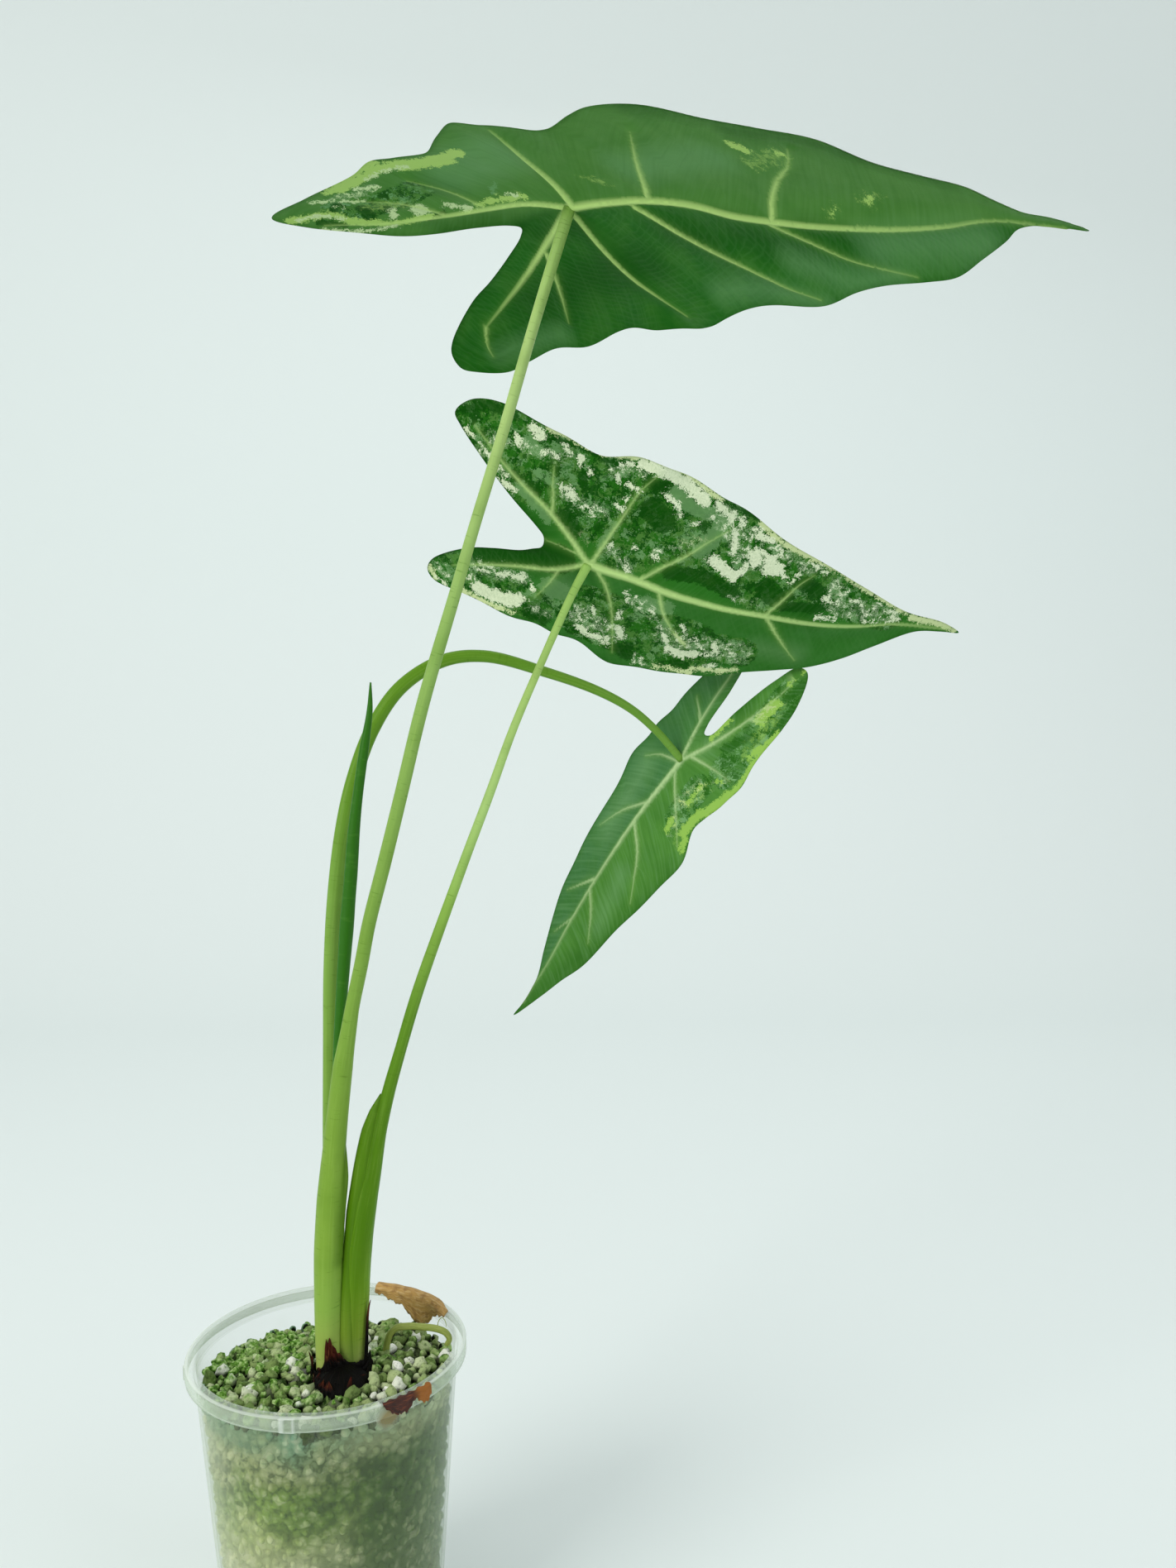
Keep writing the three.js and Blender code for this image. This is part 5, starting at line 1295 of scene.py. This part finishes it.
def makeFoot():
    draw = np.random.default_rng(foot["seed"])
    cx, cy, cz, rx, ry, rz = foot["mound"]
    # lumpy mound of old fibres
    rows, sides = foot["moundRows"], foot["moundSides"]
    vertices, flow, share = [], [], []
    for i in range(1, rows):
        tilt = math.pi * i / rows
        for k in range(sides):
            t = 2 * math.pi * k / sides
            lump = 1 + 0.05 * math.sin(5 * t + 3 * tilt) + 0.05 * math.sin(11 * t - 4 * tilt)
            lump += 0.035 * math.sin(17 * t + 9 * tilt)
            x, y = math.sin(tilt) * math.cos(t) * lump, math.sin(tilt) * math.sin(t) * lump
            point = (cx + rx * x, cy + ry * y, cz + rz * math.cos(tilt) * (0.9 + 0.1 * lump))
            vertices.append(point)
            flow.append((9 * t if k < sides / 2 else 9 * (2 * math.pi - t), 0, point[2]))
            share.append(0.35)
    faces = [(a, d, c, b) for a, b, c, d in ringFaces(rows - 1, sides)]
    vertices += [(cx, cy, cz + rz), (cx, cy, cz - rz)]
    flow += [(0, 0, 0), (0, 0, 0)]
    share += [0.1, 0.1]
    n, last = len(vertices), (rows - 2) * sides
    faces += [(n - 2, k, (k + 1) % sides) for k in range(sides)]
    faces += [(n - 1, last + (k + 1) % sides, last + k) for k in range(sides)]
    parts = [(vertices, faces, {"flow": flow, "share": share})]
    parts += [tornCollar(layer, draw) for layer in range(foot["collars"])]
    # loose strips lie on the mound, most of them at the front and left
    for k in range(foot["strips"]):
        t = draw.uniform(-2.9, -0.6) if k < 12 else draw.uniform(0, 3)
        height, half = draw.uniform(3, 6), draw.uniform(0.5, 1.5)
        strip = []
        for s in np.linspace(0, 1, 8):
            a = t + 0.5 * s * math.sin(3 * k)
            bow = 0.98 - 0.3 * s
            strip.append((cx + bow * rx * math.cos(a), cy + bow * ry * math.sin(a),
                          105 + height * s + 0.8 * math.sin(3 * s), half * (1 - 0.7 * s ** 2)))
        parts.append(paperStrip(strip, np.linspace(-1, 1, 7), 0.35, draw.uniform(0, 2.0, 7)))
    # loose brown fibres curl over the mound
    for k in range(foot["fibres"]):
        a, lean = draw.uniform(-3.3, -0.7), draw.uniform(-0.5, 0.5)
        reach, height = draw.uniform(0.75, 1.12), draw.uniform(1.5, 6)
        line = [(cx + rx * reach * math.cos(a + lean * s),
                 cy + ry * reach * math.sin(a + lean * s) * (1 - 0.25 * s),
                 104.5 + height * math.sin(2.2 * s) + 1.5 * (1 - reach), 0.24 - 0.12 * s)
                for s in np.linspace(0, 1, 6)]
        vertices, faces, attributes = sweep(line, 5, 9)
        attributes["share"] = np.full(len(vertices), draw.uniform(0.1, 0.75))
        parts.append((vertices, faces, attributes))
    for rows in foot["edges"]:
        parts.append(paperStrip(smoothPath(rows, 14), np.linspace(-1, 1, 7), 0.4, draw.uniform(0, 0.6, 7)))
    vertices, faces, attributes = joinParts(parts)
    piece = showPiece("drySheath", vertices, faces, paperSkin(), attributes)
    finishPiece(piece, "dry_sheath", "dry_sheath")
    knobbly = sweep(raised(surfaceRoot), 20, 90, shape=lambda turn, share: 1 + 0.05 * np.sin(3 * turn + 23 * share))
    root = joinParts([knobbly, sweep(raised(hair), 6, 24)])
    piece = showPiece("surfaceRoot", root[0], root[1], rootSkin(), root[2])
    finishPiece(piece, "root", "surface_root")
    # the corm keeps its CAD shape under a skin of its own
    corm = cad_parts["rootstock"]
    skin = cormSkin()
    for place in corm.material_slots:
        place.material = skin


makeFoot()
print("foot of the stems made")

# Withered leaves.
withered = {"leafFrom": 77, "leafTo": 28, "scrapFrom": -58, "scrapTo": -36, "columns": 70}


# Dry leaf: matt paper, creased along its veins, bleached on the folds and brown in the hollows.
def drySkin(name, main, pale, dark):
    material, add = startMaterial(name)
    flow = add("ShaderNodeAttribute", attribute_name="flow").outputs["Vector"]
    tint = add("ShaderNodeAttribute", attribute_name="share").outputs["Fac"]
    drawn = add("ShaderNodeMapping", {"Vector": flow, "Scale": (0.22, 0.8, 1.0)})
    crease = add("ShaderNodeTexNoise", {"Vector": drawn, "Scale": 1.0, "Detail": 4.0})
    blotch = add("ShaderNodeTexNoise", {"Vector": flow, "Scale": 0.28, "Detail": 4.0})
    light = add("ShaderNodeMapRange", {"Value": crease, "From Min": 0.5, "From Max": 0.68})
    stain = add("ShaderNodeMapRange", {"Value": blotch, "From Min": 0.5, "From Max": 0.66, "To Max": 0.8})
    colour = layerColours(add, main, [(light, pale), (stain, dark), (tint, "#a8661a")])
    bump = add("ShaderNodeBump", {"Height": crease, "Strength": 0.9, "Distance": 0.0006})
    return coat(material, {"Base Color": colour, "Roughness": 0.7, "Normal": bump})


# A sheet bent round the rim. rows gives inner and outer radius and height, drops the ragged edges.
def rimSheet(first, last, rows, tint):
    columns = withered["columns"]
    angles = np.radians(np.linspace(first, last, columns))
    inner, outer, flow, share = [], [], [], []
    across = len(rows(0.0))
    for i, a in enumerate(angles):
        s = i / (columns - 1)
        section = rows(s)
        for k, ((r0, z0), (r1, z1)) in enumerate(section):
            ripple = 0.12 * math.sin(31 * s + 2 * k) * (1 if 0 < i < columns - 1 else 0)
            for target, r, z, w in ((inner, r0, z0, 0), (outer, r1, z1, ripple)):
                target.append(((r + w) * math.cos(a), (r + w) * math.sin(a), z + cup["height"]))
            flow.append((48 * a, 3.0 * k, 0))
            share.append(tint(s, k / (across - 1)))
    return inner + outer, sheetFaces(columns, across), {"flow": flow * 2, "share": share * 2}


def turnOutward(piece):
    work = bmesh.new()
    work.from_mesh(piece.data)
    bmesh.ops.recalc_face_normals(work, faces=work.faces)
    work.to_mesh(piece.data)
    work.free()


def makeWithered():
    leafDrops = [-1.2, -1.8, -2.8, -5, -8.4, -10.8, -10.2, -8.6, -5.2, -4.2, -3.8, -2.4, -1.4]
    scrapDrops = [-0.5, -2.0, -3.8, -4.6, -4.8, -4.6, -2.9, -1.5, -3.2, -4.5, -4.6, -2.6]

    def at(table, s):
        return float(np.interp(s * (len(table) - 1), range(len(table)), table))

    def leafRows(s):
        drop = at(leafDrops, s) + 0.45 * math.sin(57 * s) + 0.25 * math.sin(131 * s)
        fold = 0.25 * math.sin(19 * s)
        low = [((45.5 - 0.25 * d - fold * d, drop * d + (1 - d) * -0.6),
                (44.9 - 0.3 * d - fold * d, drop * d + (1 - d) * -0.5)) for d in (1.0, 0.75, 0.5, 0.25, 0.06)]
        over = min(1, 0.12 + 3.2 * s)
        middle, last = 46.5 + 1.7 * over, 46.5 + over * (2.9 - 0.4 * abs(fold))
        return low + [((46.5, 0.38), (46.1, 0.85)), ((middle, 0.38), (middle, 0.95)),
                      ((last, 0.38), (last - 0.1, 0.75))]

    def scrapRows(s):
        drop = at(scrapDrops, s) + 0.3 * math.sin(67 * s + 1) + 0.15 * math.sin(113 * s)
        inner = 49.3 + 0.35 * math.sin(31 * s)
        rows = [((inner, 0.3), (inner, 0.55)), ((50.0, 0.3), (50.15, 0.65)), ((50.36, -0.2), (50.8, -0.1))]
        return rows + [((50.36 + 0.3 * d * abs(math.sin(9 * s)), drop * d - 0.1),
                        (50.75 + 0.35 * d * abs(math.sin(9 * s)), drop * d)) for d in (0.25, 0.5, 0.75, 1.0)]

    for name, rows, first, last, skin, slot, node, tint in (
        ("witheredLeaf", leafRows, withered["leafTo"], withered["leafFrom"],
         ("dry tan leaf", "#bc9350", "#d0b078", "#926a34"), "withered_tan", "withered_leaf", lambda s, k: 0.0),
        ("witheredScrap", scrapRows, withered["scrapFrom"], withered["scrapTo"],
         ("dry brown leaf scrap", "#42190a", "#7a3a18", "#1c0a04"), "withered_brown", "withered_scrap",
         lambda s, k: max(0.0, min(1.0, (s - 0.58) * 6)) * 0.85),
    ):
        vertices, faces, attributes = rimSheet(first, last, rows, tint)
        piece = showPiece(name, vertices, faces, drySkin(*skin), attributes)
        turnOutward(piece)
        finishPiece(piece, slot, node)


makeWithered()
print("withered leaves made")

# Cup.
# Polypropylene, injection moulded: clear with a greenish milky haze that gathers where the wall is seen
# edge on and in the thick rim, with painted highlight lines at the rim's lips, a soft gloss and faint stains of
# algae.
def polypropylene():
    material, add = startMaterial("clear polypropylene, milky")
    place = add("ShaderNodeTexCoord").outputs["Object"]
    height = add("ShaderNodeSeparateXYZ", {"Vector": place}).outputs["Z"]
    stain = add("ShaderNodeTexNoise", {"Vector": place, "Scale": 45.0, "Detail": 4.0})
    stained = add("ShaderNodeMapRange", {"Value": stain, "From Min": 0.56, "From Max": 0.72, "To Max": 0.5})
    # heights in the band, from the wall below it to the top; the ramp's two bright peaks are painted highlight
    # lines at the lips
    inBand = add("ShaderNodeMapRange", {"Value": height, "From Min": 0.109, "From Max": 0.115})
    band = add("ShaderNodeValToRGB", {"Fac": inBand}, stops=(
        (0.1, "#000000"), (0.15, "#cccccc"), (0.21, "#8e8e8e"), (0.9, "#8e8e8e"), (0.97, "#c4c4c4")))
    lipHighlight = add("ShaderNodeMapRange", {"Value": band, "From Min": 0.28, "From Max": 0.5})
    mark = add("ShaderNodeAttribute", attribute_name="mark").outputs["Fac"]
    # tan smear that the dead leaf left under the scrap
    smear = add("ShaderNodeVectorMath", {0: place, 1: (0.0292, -0.0396, 0.1086)}, operation="DISTANCE")
    smear = add("ShaderNodeMath", {0: stain, 1: 0.006, 2: smear}, operation="MULTIPLY_ADD")
    smear = add("ShaderNodeMapRange", {"Value": smear, "From Min": 0.0098, "From Max": 0.0078, "To Max": 0.85})
    # the ledge on top of the band is seen flat on, and is nearly clear
    radius = axisDistance(add, place)
    outer = add("ShaderNodeMapRange", {"Value": radius, "From Min": 0.0484, "From Max": 0.0492, "To Min": 0.3})
    colour = layerColours(add, "#c4d5bd", [
        (stained, "#c3cb9c"), (lipHighlight, "#e6f0e6"), (mark, "#e6f0e6"), (smear, "#86702e"),
    ])
    frost = add("ShaderNodeTexNoise", {"Vector": place, "Scale": 300.0, "Detail": 3.0})
    rough = add("ShaderNodeMapRange", {"Value": frost, "To Min": 0.14, "To Max": 0.3})
    slant = add("ShaderNodeLayerWeight", {"Blend": 0.5}).outputs["Facing"]
    edgeOn = add("ShaderNodeMath", {0: slant, 1: 3.2}, operation="POWER")
    band = add("ShaderNodeMath", {0: band, 1: outer}, operation="MULTIPLY")
    haze = add("ShaderNodeMath", {0: edgeOn, 1: 0.45, 2: band}, operation="MULTIPLY_ADD")
    haze = add("ShaderNodeMath", {0: mark, 1: 0.22, 2: haze}, operation="MULTIPLY_ADD")
    haze = add("ShaderNodeMath", {0: smear, 1: 0.7, 2: haze}, operation="MULTIPLY_ADD")
    haze = add("ShaderNodeMath", {0: stained, 1: 0.06, 2: haze}, operation="MULTIPLY_ADD")
    haze = add("ShaderNodeMath", {0: haze, 1: 0.045}, operation="ADD", use_clamp=True)
    return coat(material, {"Base Color": colour, "Roughness": rough, "Alpha": haze})


def makeCup():
    top, band = cup["height"], cup["rimBand"]
    under, skirt = top - 1.6, top - band
    rim, wall = cup["rimRadius"], cup["wall"]
    inside = wallRadius(top) - wall
    # from the middle of the base up the outside, over the rim and down the inside
    profile = [
        (0, 0), (wallRadius(0) - 3, 0), (wallRadius(0) - 0.9, 0.25), (wallRadius(0.9) - 0.15, 0.9),
        (wallRadius(3), 3), (wallRadius(40), 40), (wallRadius(80), 80), (wallRadius(under - 1), under - 1),
        (wallRadius(under) + 0.3, under), (rim - 1.05, under), (rim - 1.0, under - 0.3), (rim - 1.0, skirt + 0.2),
        (rim - 0.85, skirt), (rim - 0.25, skirt), (rim, skirt + 0.3), (rim, top - 0.8), (rim - 0.25, top - 0.3),
        (rim - 0.8, top), (inside + 0.6, top), (inside + 0.12, top - 0.2), (inside, top - 0.8),
        (wallRadius(80) - wall, 80), (wallRadius(40) - wall, 40), (wallRadius(4) - wall, 4),
        (wallRadius(2) - wall - 0.8, 1.9), (wallRadius(0) - wall - 3, cup["floor"]), (0, cup["floor"]),
    ]
    # the places of the band's outer side in the profile
    bandFirst, bandLast = 13, 16
    sides = cup["sides"]
    turn = np.radians(np.arange(sides) * 360 / sides)
    vertices, marks = [(0, 0, 0)], [0.0]
    for k, (r, z) in enumerate(profile[1:-1], 1):
        for t in turn:
            # a small raised mark on the front of the band, and the moulding gate at its left
            lift, raisedMark = 0.0, 0.0
            if bandFirst <= k <= bandLast:
                mark = abs((math.degrees(t) - cup["markAngle"] + 180) % 360 - 180)
                gate = abs((math.degrees(t) - cup["gateAngle"] + 180) % 360 - 180)
                lift = 0.35 if 1.6 < mark < 3.1 or (mark < 3.1 and k in (bandFirst, bandLast)) else 0.0
                raisedMark = float(lift > 0)
                lift = 0.4 if gate < 1.2 else lift
            vertices.append(((r + lift) * math.cos(t), (r + lift) * math.sin(t), z))
            marks.append(raisedMark)
    vertices.append((0, 0, cup["floor"]))
    marks.append(0.0)
    rings = len(profile) - 2
    faces = ringFaces(rings, sides, 1)
    faces += [(0, 1 + (k + 1) % sides, 1 + k) for k in range(sides)]
    last = 1 + (rings - 1) * sides
    faces += [(len(vertices) - 1, last + k, last + (k + 1) % sides) for k in range(sides)]
    piece = showPiece("cupWall", vertices, faces, polypropylene(), {"mark": marks})
    finishPiece(piece, "clear_plastic", "pot")


makeCup()
print("cup made")
